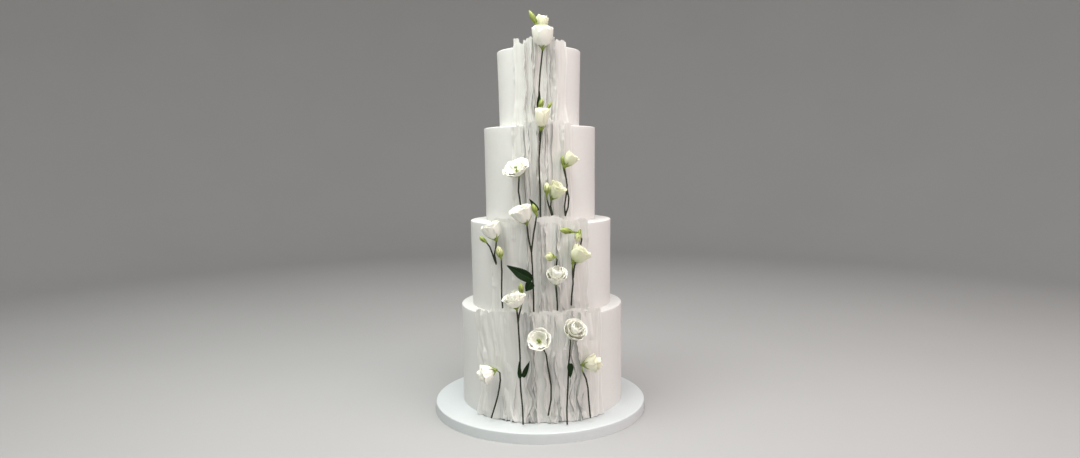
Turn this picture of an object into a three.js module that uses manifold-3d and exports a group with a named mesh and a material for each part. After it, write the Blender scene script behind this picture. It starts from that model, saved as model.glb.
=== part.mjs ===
// A four-tier white wedding cake on its round covered board. Down the front of every tier runs a
// panel of ruffled wafer paper, and lisianthus flowers on long stems stand among the ruffles.
//
// Millimetres, +Z up, the front of the cake towards -Y. The origin is the centre of the board's
// underside. A place on a tier is an angle in degrees from its front, positive to the right, a height
// above the tier's base and a stand-off outside its wall.

import * as THREE from "three";
import { mergeVertices } from "three/addons/utils/BufferGeometryUtils.js";
import Module from "manifold-3d";

const wasm = await Module();
wasm.setup();

// ---------------------------------------------------------------------------------------------
// Driving dimensions
// ---------------------------------------------------------------------------------------------

const BOARD = { radius: 165, height: 15.5, edge: 2.5, sides: 48 };

// The cake stands a little behind the middle of its board, which leaves room for the ruffles.
const CAKE_AXIS = { x: 4, y: 5 };

const TIER_SIDES = 48;
const TIER_EDGE = 2.5; // radius of the icing's top edge
const GAP = 0.4; // between a piece and what it rests against

const STEM = { radius: 1.3, sides: 5, step: 24, standOff: 12.5, clearance: 0.8 };
const CALYX = { radius: 3.4, length: 5, sides: 6, shareOnBud: 0.8, topOfStem: 0.6, neck: 1.6 };
const BLOOM = { petals: 5, columnsPerPetal: 3, petalThickness: 1.3, notch: 0.84 };
const BUD = { sides: 6, rings: 3, usualWidth: 7 };
const LEAF = { thickness: 0.8, fold: 0.14, wave: 0.05, rows: 4, columns: 2 };

// The ruffles: a backing sheet against the wall, and fins that narrow from root to tip. rootRise is
// the share of a fin's rise above the tier that the backing has too.
const PAPER = { standOff: 0.7, backing: 1.2, rootWidth: 2.6, tipWidth: 1.2, rootRise: 0.4, rows: 5 };

// How unlike each other the fins are: drift and sway in shares of the pitch, depth and rise in shares
// of the panel's own. A fin sways to and fro, and gets deeper and shallower, on its way up.
const FIN = { drift: 0.3, sway: [0.1, 0.3], depth: [0.75, 1], rise: [0.3, 1], swayTurns: 0.85, rippleTurns: 1.3 };
const FIN_RIPPLE = 0.12;
const FLARE_FADE = 1.5;

// The room round a bloom is a cup whose base is this share of its mouth.
const ROOM = { sides: 8, base: 0.85 };

// Each tier: its wall, its ruffle panel and the flower sprays that stand against it. Below the
// height of a flare, what stands off the wall spreads out further by up to the flare's factor. In a
// spray, a bloom faces [right, out, up] as seen from the front of its own spot; a bud or a leaf runs
// from a base to a tip; a strand of the stem starts under the bloom or the bud that it holds, or at
// the first point of its route. A route's point without a stand-off has STEM.standOff.
const TIERS = [
  {
    name: "tier_1",
    bottomRadius: 126,
    topRadius: 126,
    height: 152,
    flare: { height: 34, factor: 0.8 },
    ruffle: { from: -49, to: 42, fins: 13, depth: 10.5, rise: 22, seed: 11 },
    sprays: [
      {
        name: "j",
        bloom: { at: [-15, 181, 20], width: 33, height: 23, openness: 0.75, facing: [-0.15, 0.25, 1] },
        buds: [{ base: [-12.6, 189, 3.5], tip: [-13, 202, 4.5], width: 7 }],
        strands: [
          {
            holds: "bloom",
            route: [[-14.2, 158], [-13.7, 136], [-13, 90], [-13.4, 63], [-12.2, 33], [-11, 3]],
          },
          { holds: 0, route: [[-12, 174, 4], [-13.5, 160, 9], [-13.9, 148]] },
        ],
        leaves: [
          { base: [-13, 68, 16], tip: [-13.4, 92, 16.5], width: 6 },
          { base: [-11.2, 70, 16.5], tip: [-7.3, 93, 17], width: 7 },
        ],
      },
      {
        name: "k",
        bloom: { at: [-1.9, 125, 23], width: 34, height: 24, openness: 0.8, facing: [-0.15, 0.85, 0.5] },
        strands: [{ holds: "bloom", route: [[1.6, 108], [3.5, 79], [5.2, 47], [2.9, 15]] }],
      },
      {
        name: "l",
        bloom: { at: [18.2, 136.5, 21], width: 33, height: 25, openness: 0.7, facing: [0.1, 0.75, 0.7] },
        strands: [{ holds: "bloom", route: [[16.4, 110], [15.5, 83], [15, 55], [13.9, 22], [13.3, 2]] }],
        leaves: [{ base: [16, 88, 16], tip: [16.1, 67, 16.5], width: 9 }],
      },
      {
        name: "m",
        bloom: { at: [29.7, 85, 19], width: 27, height: 25, openness: 0.7, facing: [0.8, 0.5, 0.15] },
        strands: [{ holds: "bloom", route: [[24.6, 73], [26.6, 62], [28, 46], [28.3, 32], [27.6, 6]] }],
      },
      {
        name: "n",
        bloom: { at: [-33.4, 71, 21], width: 30, height: 24, openness: 0.7, facing: [-0.75, 0.55, -0.3] },
        strands: [
          { holds: "bloom", route: [[-26.4, 76], [-25.7, 67], [-26.6, 50], [-28.2, 34], [-29.6, 20], [-30.6, 6]] },
        ],
      },
    ],
  },
  {
    name: "tier_2",
    bottomRadius: 108.5,
    topRadius: 109.5,
    height: 130.5,
    flare: { height: 20, factor: 0.1 },
    ruffle: { from: -40, to: 37, fins: 12, depth: 10, rise: 20, seed: 22 },
    sprays: [
      {
        name: "f",
        bloom: { at: [-11.2, 147, 20], width: 34, height: 25, openness: 0.55, facing: [-0.35, 0.3, 1] },
        buds: [{ base: [-3, 148, 14], tip: [-5, 161, 15], width: 7 }],
        strands: [
          { holds: "bloom", route: [[-8.7, 119], [-6.4, 93], [-5.8, 60], [-5.4, 33], [-5.4, 7]] },
          { holds: 0, route: [[-3.6, 132], [-5, 115], [-6.4, 91]] },
        ],
        leaves: [
          { base: [-6, 54, 16], tip: [-23, 73, 18], width: 16 },
          { base: [-6.2, 50.5, 16.5], tip: [-10.4, 37, 17], width: 13 },
        ],
      },
      {
        name: "g",
        bloom: { at: [-32.6, 123, 20], width: 31, height: 25, openness: 0.5, facing: [-0.35, 0.25, 1] },
        buds: [{ base: [-41, 106, 14], tip: [-46, 112, 15], width: 6 }],
        strands: [
          { holds: "bloom", route: [[-33.6, 93], [-32, 75]] },
          { holds: 0, route: [[-36.8, 96], [-34.4, 84], [-32, 73]] },
        ],
      },
      {
        name: "g_side",
        buds: [{ base: [-27.8, 86, 14.5], tip: [-29.6, 101, 15.5], width: 10 }],
        strands: [{ holds: 0, route: [[-27.8, 58], [-28.2, 22], [-27.5, 10]] }],
      },
      {
        name: "h",
        bloom: { at: [24.6, 89, 21], width: 30, height: 26, openness: 0.5, facing: [0.55, 0.35, 0.85] },
        buds: [
          { base: [19.8, 120.5, 15], tip: [12, 124, 16], width: 8 },
          { base: [25.6, 118.5, 16], tip: [23.8, 106, 17], width: 9 },
        ],
        strands: [
          { holds: "bloom", route: [[22, 58], [20.9, 30], [20.4, 14]] },
          {
            holds: 0,
            route: [[26.6, 119, 11], [31, 107, 5], [29.5, 92, 3.3], [24.6, 70, 6], [22, 54, 12.5]],
          },
          { holds: 1, route: [[28.2, 117, 10]] },
        ],
      },
      {
        name: "i",
        bloom: { at: [9.4, 60, 21], width: 31, height: 25, openness: 0.7, facing: [0, 0.5, 0.85] },
        buds: [{ base: [7.9, 86, 15.5], tip: [2.4, 86.5, 16.5], width: 11 }],
        strands: [
          { holds: "bloom", route: [[10.3, 30], [10.5, 6]] },
          { holds: 0, route: [[11, 78, 6], [10.8, 64, 3.3], [10.5, 46, 5], [10.3, 30, 12.5]] },
        ],
      },
    ],
  },
  {
    name: "tier_3",
    bottomRadius: 85,
    topRadius: 86,
    height: 141,
    flare: { height: 20, factor: 0.1 },
    ruffle: { from: -26, to: 32, fins: 9, depth: 10, rise: 18, seed: 33 },
    sprays: [
      {
        name: "b",
        bloom: { at: [2, 151, 16], width: 22, height: 28, openness: 0.2, facing: [0.05, 0.1, 1] },
        buds: [
          { base: [0.9, 166, 1.5], tip: [2.6, 179, 2], width: 7 },
          { base: [7.4, 164, 2], tip: [12.2, 174, 2], width: 4.5 },
        ],
        strands: [
          { holds: "bloom", route: [[0.2, 112], [-0.9, 84], [-0.2, 56], [-0.1, 33], [-0.3, 3]] },
          { holds: 0, route: [[0.5, 152, 1.4], [0.2, 136, 5], [0.2, 118, 12]] },
          { holds: 1, route: [[3.6, 152, 1.4], [0.8, 136, 5], [0.2, 118, 12]] },
        ],
        leaves: [{ base: [-2, 19, 16], tip: [-9, 36, 16.5], width: 7 }],
      },
      {
        name: "c",
        bloom: { at: [-19, 80, 20], width: 41, height: 22, openness: 0.95, facing: [-0.1, 0.6, 0.8] },
        strands: [{ holds: "bloom", route: [[-19.1, 54], [-18, 40], [-16.9, 24]] }],
      },
      {
        name: "d",
        bloom: { at: [25.4, 92, 16], width: 22, height: 21, openness: 0.5, facing: [0.55, 0.3, 0.8] },
        buds: [{ base: [19.4, 86, 13], tip: [18.8, 97, 13.5], width: 5 }],
        strands: [
          { holds: "bloom", route: [[22.8, 66], [23, 47], [20.9, 27], [21.4, 10]] },
          { holds: 0, route: [[20.6, 76], [22.8, 62]] },
          { route: [[23, 49], [24.8, 38], [24.2, 24], [21.5, 11]] },
        ],
      },
      {
        name: "e",
        bloom: { at: [12.8, 47.5, 18], width: 26, height: 24, openness: 0.55, facing: [0.4, 0.45, 0.85] },
        buds: [{ base: [5, 45.5, 20], tip: [5.1, 59.5, 22.5], width: 9 }],
        strands: [
          { holds: "bloom", route: [[10.1, 16], [9.9, 2]] },
          { holds: 0, route: [[6, 32], [8.2, 19], [10, 9]] },
        ],
      },
    ],
  },
  {
    name: "tier_4",
    bottomRadius: 61.5,
    topRadius: 64,
    height: 115.5,
    flare: { height: 20, factor: 0.1 },
    ruffle: { from: -34, to: 39, fins: 8, depth: 9, rise: 14, seed: 44 },
    sprays: [
      {
        name: "a",
        bloom: { at: [4.3, 127, 16], width: 30, height: 31, openness: 0.35, facing: [0, 0.1, 1] },
        strands: [{ holds: "bloom", route: [[3.6, 98], [1.2, 72], [-0.3, 44], [-1, 26]] }],
        leaves: [{ base: [-1, 24, 16], tip: [0.6, 50, 16.5], width: 6 }],
      },
      {
        name: "a_rear",
        bloom: { at: [5.5, 149, -5], width: 19, height: 23, openness: 0.25, facing: [0.05, 0, 1] },
        buds: [{ base: [-3, 147, 4], tip: [-11, 165, 5], width: 7 }],
        strands: [
          { holds: "bloom", route: [[4.6, 128, -6], [3, 116.5, -6]] },
          { holds: 0, route: [[-4, 139, 0], [-3, 127, -3.5], [3, 116.5, -6]] },
        ],
      },
    ],
  },
];

// ---------------------------------------------------------------------------------------------
// Materials
// ---------------------------------------------------------------------------------------------

const material = (color, roughness) => new THREE.MeshStandardMaterial({ color, roughness, metalness: 0 });

const MATERIALS = {
  board: material("#e9eaea", 0.45),
  icing: material("#efeeea", 0.6),
  paper: material("#f3f2ee", 0.75),
  petal: material("#f5f3e6", 0.65),
  bud: material("#c9d39b", 0.6),
  stem: material("#35431f", 0.6),
  leaf: material("#2c4420", 0.5),
};

// ---------------------------------------------------------------------------------------------
// Helpers
// ---------------------------------------------------------------------------------------------

/** A repeatable source of random numbers from 0 to 1. */
function randomSource(seed) {
  let state = seed;
  return () => {
    state = (state * 1664525 + 1013904223) % 4294967296;
    return state / 4294967296;
  };
}

/** The point at an angle, a height and a stand-off from a tier's wall, in the tier's own frame. */
function onWall(tier, angle, height, standOff) {
  const share = THREE.MathUtils.clamp(height / tier.height, 0, 1);
  const wall = THREE.MathUtils.lerp(tier.bottomRadius, tier.topRadius, share);
  const flare = tier.flare.factor * Math.max(0, 1 - height / tier.flare.height) ** FLARE_FADE;
  const radius = wall + standOff * (1 + flare);
  const turn = THREE.MathUtils.degToRad(angle);
  return new THREE.Vector3(radius * Math.sin(turn), -radius * Math.cos(turn), height);
}

/** A direction given as [right, out, up] at an angle on a tier's wall. */
function direction(angle, [right, out, up]) {
  const turn = THREE.MathUtils.degToRad(angle);
  const outwards = new THREE.Vector3(Math.sin(turn), -Math.cos(turn), 0);
  const sideways = new THREE.Vector3(Math.cos(turn), Math.sin(turn), 0);
  return new THREE.Vector3(0, 0, up).addScaledVector(sideways, right).addScaledVector(outwards, out).normalize();
}

/** A geometry with only its positions left and its shared vertices merged. */
function merged(geometry) {
  const bare = geometry.clone();
  bare.deleteAttribute("normal");
  bare.deleteAttribute("uv");
  return mergeVertices(bare, 1e-3);
}

/** A closed geometry as a solid that can be joined and cut. */
function solidOf(geometry) {
  const closed = merged(geometry);
  const vertProperties = closed.attributes.position.array;
  return new wasm.Manifold(new wasm.Mesh({ numProp: 3, vertProperties, triVerts: closed.index.array }));
}

/** A solid's surface as a geometry. */
function geometryOf(solid) {
  const mesh = solid.getMesh();
  return new THREE.BufferGeometry()
    .setAttribute("position", new THREE.BufferAttribute(mesh.vertProperties, 3))
    .setIndex(new THREE.BufferAttribute(mesh.triVerts, 1));
}

/** The largest of the bodies that a cut has left, so that no loose scrap stays. */
function largestBody(solid) {
  return solid.decompose().reduce((best, body) => (body.volume() > best.volume() ? body : best));
}

/** A named mesh. */
function piece(name, geometry, finish) {
  const mesh = new THREE.Mesh(geometry, finish);
  mesh.name = name;
  return mesh;
}

/**
 * A closed skin over rings of points: every ring has the same number of points, counted
 * anticlockwise as seen from the last ring, and each end closes on a pole.
 */
function skinOverRings(firstPole, rings, lastPole) {
  const columns = rings[0].length;
  const points = [firstPole, ...rings.flat(), lastPole];
  const last = points.length - 1;
  const at = (ring, column) => 1 + ring * columns + (column % columns);
  const faces = [];
  for (let column = 0; column < columns; column++) {
    faces.push(0, at(0, column + 1), at(0, column));
    for (let ring = 0; ring + 1 < rings.length; ring++) {
      faces.push(at(ring, column), at(ring, column + 1), at(ring + 1, column + 1));
      faces.push(at(ring, column), at(ring + 1, column + 1), at(ring + 1, column));
    }
    faces.push(last, at(rings.length - 1, column), at(rings.length - 1, column + 1));
  }
  return new THREE.BufferGeometry().setFromPoints(points).setIndex(faces);
}

/** The triangles between two chains of points, the second to the left of the first. */
function stripBetween(first, second) {
  const faces = [];
  let i = 0;
  let j = 0;
  while (i + 1 < first.length || j + 1 < second.length) {
    const nextFirst = (i + 1) / (first.length - 1);
    const nextSecond = (j + 1) / (second.length - 1);
    if (nextFirst <= nextSecond) {
      faces.push(first[i], first[i + 1], second[j]);
      i++;
    } else {
      faces.push(first[i], second[j + 1], second[j]);
      j++;
    }
  }
  return faces;
}

/**
 * A closed slab between two grids of points, front and back, with as many columns. Seen from the
 * front, rows run to the right and follow each other upwards. The back may have fewer rows.
 */
function slabBetweenGrids(front, back) {
  let count = 0;
  const numbered = (grid) => grid.map((row) => row.map(() => count++));
  const [outer, inner] = [numbered(front), numbered(back)];
  const faces = [];
  for (let row = 0; row + 1 < outer.length; row++) faces.push(...stripBetween(outer[row], outer[row + 1]));
  for (let row = 0; row + 1 < inner.length; row++) faces.push(...stripBetween(inner[row + 1], inner[row]));
  faces.push(...stripBetween(inner[0], outer[0]));
  faces.push(...stripBetween(outer.at(-1), inner.at(-1)));
  const side = (grid, column) => grid.map((row) => row.at(column));
  faces.push(...stripBetween(side(outer, 0), side(inner, 0)));
  faces.push(...stripBetween(side(inner, -1), side(outer, -1)));
  return new THREE.BufferGeometry().setFromPoints([...front.flat(), ...back.flat()]).setIndex(faces);
}

// ---------------------------------------------------------------------------------------------
// Board and tiers
// ---------------------------------------------------------------------------------------------

/** A round slab standing on z = 0, with a rounded top edge. */
function roundSlab(bottomRadius, topRadius, height, edge, sides) {
  const profile = [new THREE.Vector2(0, 0), new THREE.Vector2(bottomRadius, 0)];
  const edgeSteps = 2;
  for (let step = 0; step <= edgeSteps; step++) {
    const turn = (step / edgeSteps) * (Math.PI / 2);
    profile.push(new THREE.Vector2(topRadius - edge + edge * Math.cos(turn), height - edge + edge * Math.sin(turn)));
  }
  profile.push(new THREE.Vector2(0, height));
  return new THREE.LatheGeometry(profile, sides).rotateX(Math.PI / 2);
}

function makeBoard() {
  const geometry = roundSlab(BOARD.radius, BOARD.radius, BOARD.height, BOARD.edge, BOARD.sides);
  return piece("cake_board", geometry, MATERIALS.board);
}

function makeTier(tier) {
  const geometry = roundSlab(tier.bottomRadius, tier.topRadius, tier.height, TIER_EDGE, TIER_SIDES);
  return piece(tier.name, geometry, MATERIALS.icing);
}

// ---------------------------------------------------------------------------------------------
// Flowers
// ---------------------------------------------------------------------------------------------

/**
 * A bloom of two whorls of petals round a small centre, on +Z, with its underside at the origin.
 * Openness 0 is a closed cup and 1 is a wide, flat flower.
 */
function bloomGeometry({ width, height, openness }) {
  const columns = BLOOM.petals * BLOOM.columnsPerPetal;
  const radius = width / 2;
  const wall = BLOOM.petalThickness;
  const mix = (closed, open) => THREE.MathUtils.lerp(closed, open, openness);
  const ring = (share, rise, scallop, phase) => {
    const points = [];
    for (let column = 0; column < columns; column++) {
      const turn = (column / columns) * 2 * Math.PI;
      const wave = Math.abs(Math.sin((BLOOM.petals * turn) / 2 + phase));
      const reach = THREE.MathUtils.lerp(1, THREE.MathUtils.lerp(BLOOM.notch, 1, wave), scallop);
      const across = radius * share * reach;
      points.push(new THREE.Vector3(across * Math.cos(turn), across * Math.sin(turn), height * rise * reach));
    }
    return points;
  };
  const thinner = (share) => share - wall / radius;
  const outerRim = mix(0.94, 1);
  const innerRim = mix(0.66, 0.56);
  const quarter = Math.PI / 2; // half a petal round, as the whorls' petals alternate
  const rings = [
    ring(0.34, 0.1, 0, 0),
    ring(mix(0.92, 0.7), mix(0.42, 0.3), 0.2, 0),
    ring(outerRim, mix(0.92, 0.66), 1, 0),
    ring(thinner(outerRim), mix(0.92, 0.68), 1, 0),
    ring(mix(0.7, 0.6), mix(0.62, 0.42), 0.2, quarter),
    ring(innerRim, mix(1, 0.94), 1, quarter),
    ring(thinner(innerRim), mix(1, 0.94), 1, quarter),
    ring(0.2, 0.55, 0, 0),
  ];
  return skinOverRings(new THREE.Vector3(0, 0, 0), rings, new THREE.Vector3(0, 0, height * 0.7));
}

/** Where a bloom's underside sits, and the way that it faces. */
function bloomSeat(tier, { at: [angle, height, standOff], height: length, facing }) {
  const axis = direction(angle, facing);
  return { axis, seat: onWall(tier, angle, height, standOff).addScaledVector(axis, -length / 2) };
}

function makeBloom(tier, name, bloom) {
  const mesh = piece(name, bloomGeometry(bloom), MATERIALS.petal);
  const { axis, seat } = bloomSeat(tier, bloom);
  mesh.position.copy(seat);
  mesh.quaternion.setFromUnitVectors(new THREE.Vector3(0, 0, 1), axis);
  return mesh;
}

/** A bud, pointed at its tip, on +Z from the origin. */
function budGeometry(length, width) {
  const rings = [];
  for (let ring = 1; ring <= BUD.rings; ring++) {
    const share = ring / (BUD.rings + 1);
    const radius = (width / 2) * Math.sin(Math.PI * Math.pow(share, 0.8)) ** 0.8;
    const points = [];
    for (let side = 0; side < BUD.sides; side++) {
      const turn = (side / BUD.sides) * 2 * Math.PI;
      points.push(new THREE.Vector3(radius * Math.cos(turn), radius * Math.sin(turn), length * share));
    }
    rings.push(points);
  }
  return skinOverRings(new THREE.Vector3(0, 0, 0), rings, new THREE.Vector3(0, 0, length));
}

function makeBud(tier, name, bud) {
  const base = onWall(tier, ...bud.base);
  const span = onWall(tier, ...bud.tip).sub(base);
  const mesh = piece(name, budGeometry(span.length(), bud.width), MATERIALS.bud);
  mesh.position.copy(base);
  mesh.quaternion.setFromUnitVectors(new THREE.Vector3(0, 0, 1), span.normalize());
  return mesh;
}

/** A pointed leaf, folded a little along its rib and wavy, from the origin along +Y and facing +Z. */
function leafGeometry(length, width) {
  const grid = (lift) => {
    const rows = [];
    for (let row = 0; row <= LEAF.rows; row++) {
      const along = row / LEAF.rows;
      const half = (width / 2) * Math.sin(Math.PI * (0.06 + 0.9 * along)) ** 0.9;
      const points = [];
      for (let column = 0; column <= LEAF.columns; column++) {
        const across = (2 * column) / LEAF.columns - 1;
        const fold = LEAF.fold * width * Math.abs(across);
        const wave = LEAF.wave * width * Math.sin(2 * Math.PI * along + 2 * across);
        points.push(new THREE.Vector3(half * across, length * along, fold + wave + lift));
      }
      rows.push(points);
    }
    return rows;
  };
  return slabBetweenGrids(grid(LEAF.thickness / 2), grid(-LEAF.thickness / 2));
}

function makeLeaf(tier, name, leaf) {
  const base = onWall(tier, ...leaf.base);
  const along = onWall(tier, ...leaf.tip).sub(base);
  const mesh = piece(name, leafGeometry(along.length(), leaf.width), MATERIALS.leaf);
  along.normalize();
  const outwards = direction((leaf.base[0] + leaf.tip[0]) / 2, [0, 1, 0]);
  const across = new THREE.Vector3().crossVectors(along, outwards).normalize();
  const facing = new THREE.Vector3().crossVectors(across, along);
  mesh.position.copy(base);
  mesh.quaternion.setFromRotationMatrix(new THREE.Matrix4().makeBasis(across, along, facing));
  return mesh;
}

/** A tube of a stem's section along a smooth curve through some points. */
function tubeAlong(points, radius) {
  const curve = new THREE.CatmullRomCurve3(points, false, "centripetal");
  const section = new THREE.Shape(
    Array.from({ length: STEM.sides }, (_, side) => {
      const turn = (side / STEM.sides) * 2 * Math.PI;
      return new THREE.Vector2(radius * Math.cos(turn), radius * Math.sin(turn));
    }),
  );
  const steps = Math.max(points.length - 1, Math.round(curve.getLength() / STEM.step));
  return new THREE.ExtrudeGeometry(section, { steps, extrudePath: curve });
}

/** The green cup under a bloom or a bud, opening towards +Z, with its mouth at the origin. */
function calyxGeometry(scale, spare = 0) {
  const { radius, length, sides } = CALYX;
  return new THREE.CylinderGeometry(radius * scale + spare, STEM.radius + spare, length * scale, sides)
    .rotateX(Math.PI / 2)
    .translate(0, 0, (-length * scale) / 2);
}

/** What a strand holds: the point under it, the way it faces, and the scale of its calyx. */
function heldBy(tier, spray, strand) {
  if (strand.holds === undefined) return null;
  if (strand.holds === "bloom") {
    const { axis, seat } = bloomSeat(tier, spray.bloom);
    return { axis, seat, scale: 1 };
  }
  const bud = spray.buds[strand.holds];
  const seat = onWall(tier, ...bud.base);
  const axis = onWall(tier, ...bud.tip).sub(seat).normalize();
  return { axis, seat, scale: CALYX.shareOnBud * Math.min(1, bud.width / BUD.usualWidth) };
}

/** The points that a strand of stem runs through: out of its flower's calyx in line, and then down. */
function strandPoints(tier, held, strand) {
  const route = strand.route.map(([angle, height, standOff = STEM.standOff]) =>
    onWall(tier, angle, height, standOff),
  );
  if (!held) return route;
  const behind = (share) => held.seat.clone().addScaledVector(held.axis, -GAP - CALYX.length * held.scale * share);
  return [behind(CALYX.topOfStem), behind(CALYX.neck), ...route];
}

/** One stem with its strands and the calyxes on them, and the same stem grown by the clearance. */
function makeStem(tier, spray) {
  const stems = [];
  const rooms = [];
  for (const strand of spray.strands) {
    const held = heldBy(tier, spray, strand);
    const points = strandPoints(tier, held, strand);
    stems.push(solidOf(tubeAlong(points, STEM.radius)));
    rooms.push(solidOf(tubeAlong(points, STEM.radius + STEM.clearance)));
    if (held) {
      const turn = new THREE.Quaternion().setFromUnitVectors(new THREE.Vector3(0, 0, 1), held.axis);
      const mouth = held.seat.clone().addScaledVector(held.axis, -GAP);
      const calyx = (spare) => solidOf(calyxGeometry(held.scale, spare).applyQuaternion(turn).translate(...mouth));
      stems.push(calyx(0));
      rooms.push(calyx(STEM.clearance));
    }
  }
  const whole = largestBody(stems.reduce((sum, part) => sum.add(part)));
  return { mesh: piece(`stem_${spray.name}`, geometryOf(whole), MATERIALS.stem), rooms };
}

/** A cup on +Z that fills a box of 1 by 1 by 1. */
function unitCup() {
  const rim = 0.5 / Math.cos(Math.PI / ROOM.sides);
  return new THREE.CylinderGeometry(rim, rim * ROOM.base, 1, ROOM.sides).rotateX(Math.PI / 2);
}

/** The room that a piece needs in the ruffles: the given shape of size 1, stretched over its box. */
function roomAround(mesh, room) {
  mesh.geometry.computeBoundingBox();
  const box = mesh.geometry.boundingBox;
  const size = box.getSize(new THREE.Vector3()).addScalar(2 * STEM.clearance);
  mesh.updateMatrix();
  room.scale(size.x, size.y, size.z).translate(...box.getCenter(new THREE.Vector3()));
  return solidOf(room.applyMatrix4(mesh.matrix));
}

/** All the pieces of one spray, and the rooms that they need in the ruffles. */
function makeSpray(tier, spray) {
  const { mesh: stem, rooms } = makeStem(tier, spray);
  const meshes = [stem];
  const add = (mesh, room = new THREE.BoxGeometry(1, 1, 1)) => {
    meshes.push(mesh);
    rooms.push(roomAround(mesh, room));
  };
  if (spray.bloom) add(makeBloom(tier, `bloom_${spray.name}`, spray.bloom), unitCup());
  (spray.buds ?? []).forEach((bud, index) => add(makeBud(tier, `bud_${spray.name}_${index + 1}`, bud)));
  (spray.leaves ?? []).forEach((leaf, index) => add(makeLeaf(tier, `leaf_${spray.name}_${index + 1}`, leaf)));
  return { meshes, rooms };
}

// ---------------------------------------------------------------------------------------------
// Wafer-paper ruffles
// ---------------------------------------------------------------------------------------------

/** The plan of a tier's fins of paper: where each stands, how deep and high it is, how it waves. */
function planFins({ height, ruffle: { from, to, fins, depth, rise, seed } }) {
  const random = randomSource(seed);
  const between = ([low, high]) => THREE.MathUtils.lerp(low, high, random());
  const pitch = (to - from) / fins;
  return Array.from({ length: fins }, (_, index) => ({
    angle: from + pitch * (index + 0.5 + between([-FIN.drift, FIN.drift]) / 2),
    depth: depth * between(FIN.depth),
    top: height + rise * between(FIN.rise),
    phase: 2 * Math.PI * random(),
    sway: pitch * between(FIN.sway),
  }));
}

/**
 * The upright columns of a panel, from left to right: two edges of its backing sheet, and between
 * them the root, the two edges of the tip and the root again of every fin.
 */
function panelColumns(tier, plan) {
  const widthToAngle = (width) => THREE.MathUtils.radToDeg(width / 2 / tier.bottomRadius);
  const root = widthToAngle(PAPER.rootWidth);
  const tip = widthToAngle(PAPER.tipWidth);
  const flat = { depth: 0, sway: 0, phase: 0 };
  const columns = [{ ...flat, angle: tier.ruffle.from, top: tier.height }];
  for (const fin of plan) {
    const low = { ...flat, top: THREE.MathUtils.lerp(tier.height, fin.top, PAPER.rootRise) };
    columns.push({ ...low, angle: fin.angle - root });
    columns.push({ ...fin, angle: fin.angle - tip });
    columns.push({ ...fin, angle: fin.angle + tip });
    columns.push({ ...low, angle: fin.angle + root });
  }
  columns.push({ ...flat, angle: tier.ruffle.to, top: tier.height });
  return columns;
}

/** The panel's solid: each fin sways and waves on its way up and ends in a torn tip. */
function panelGeometry(tier) {
  const columns = panelColumns(tier, planFins(tier));
  const sheet = PAPER.standOff + PAPER.backing;
  const front = Array.from({ length: PAPER.rows + 1 }, (_, row) => {
    const share = row / PAPER.rows;
    return columns.map(({ angle, top, depth, sway, phase }) => {
      const height = THREE.MathUtils.lerp(GAP, top, share);
      const lean = sway * Math.sin(phase + 2 * Math.PI * FIN.swayTurns * share);
      const ripple = Math.sin(2 * phase + 2 * Math.PI * FIN.rippleTurns * share);
      const reach = depth * (1 - FIN_RIPPLE + FIN_RIPPLE * ripple);
      return onWall(tier, angle + lean, height, Math.max(sheet, reach));
    });
  });
  const back = [
    columns.map(({ angle }) => onWall(tier, angle, GAP, PAPER.standOff / (1 + tier.flare.factor))),
    columns.map(({ angle, top }) => onWall(tier, angle, top, PAPER.standOff)),
  ];
  return slabBetweenGrids(front, back);
}

/** The ruffle panel of a tier, with the rooms for the flowers cut out of it. */
function makeRuffle(tier, rooms) {
  const cut = rooms.reduce((paper, room) => paper.subtract(room), solidOf(panelGeometry(tier)));
  return piece(`ruffle_${tier.name}`, geometryOf(largestBody(cut)), MATERIALS.paper);
}

// ---------------------------------------------------------------------------------------------
// The cake
// ---------------------------------------------------------------------------------------------

const cake = new THREE.Group();
cake.add(makeBoard());

let base = BOARD.height;
for (const tier of TIERS) {
  const level = new THREE.Group();
  level.position.set(CAKE_AXIS.x, CAKE_AXIS.y, base);
  const sprays = tier.sprays.map((spray) => makeSpray(tier, spray));
  level.add(makeTier(tier));
  level.add(makeRuffle(tier, sprays.flatMap((spray) => spray.rooms)));
  level.add(...sprays.flatMap((spray) => spray.meshes));
  cake.add(level);
  base += tier.height;
}

export default cake;
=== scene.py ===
"""Finishes a four-tier wedding cake: icing, ruffles of wafer paper, and sprays of lisianthus.

Metres, +Z up, the front of the cake towards -Y. Every piece is made where the loaded frame holds its
solid. A place on a tier is an angle from its front, positive to the right, a height above the tier's
base and a stand-off outside its wall.
"""

import math
import random
from dataclasses import dataclass

import bmesh
import bpy
import numpy as np
from bpy.props import FloatProperty, FloatVectorProperty, IntProperty, PointerProperty
from mathutils import Matrix, Vector
from mathutils.bvhtree import BVHTree


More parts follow.
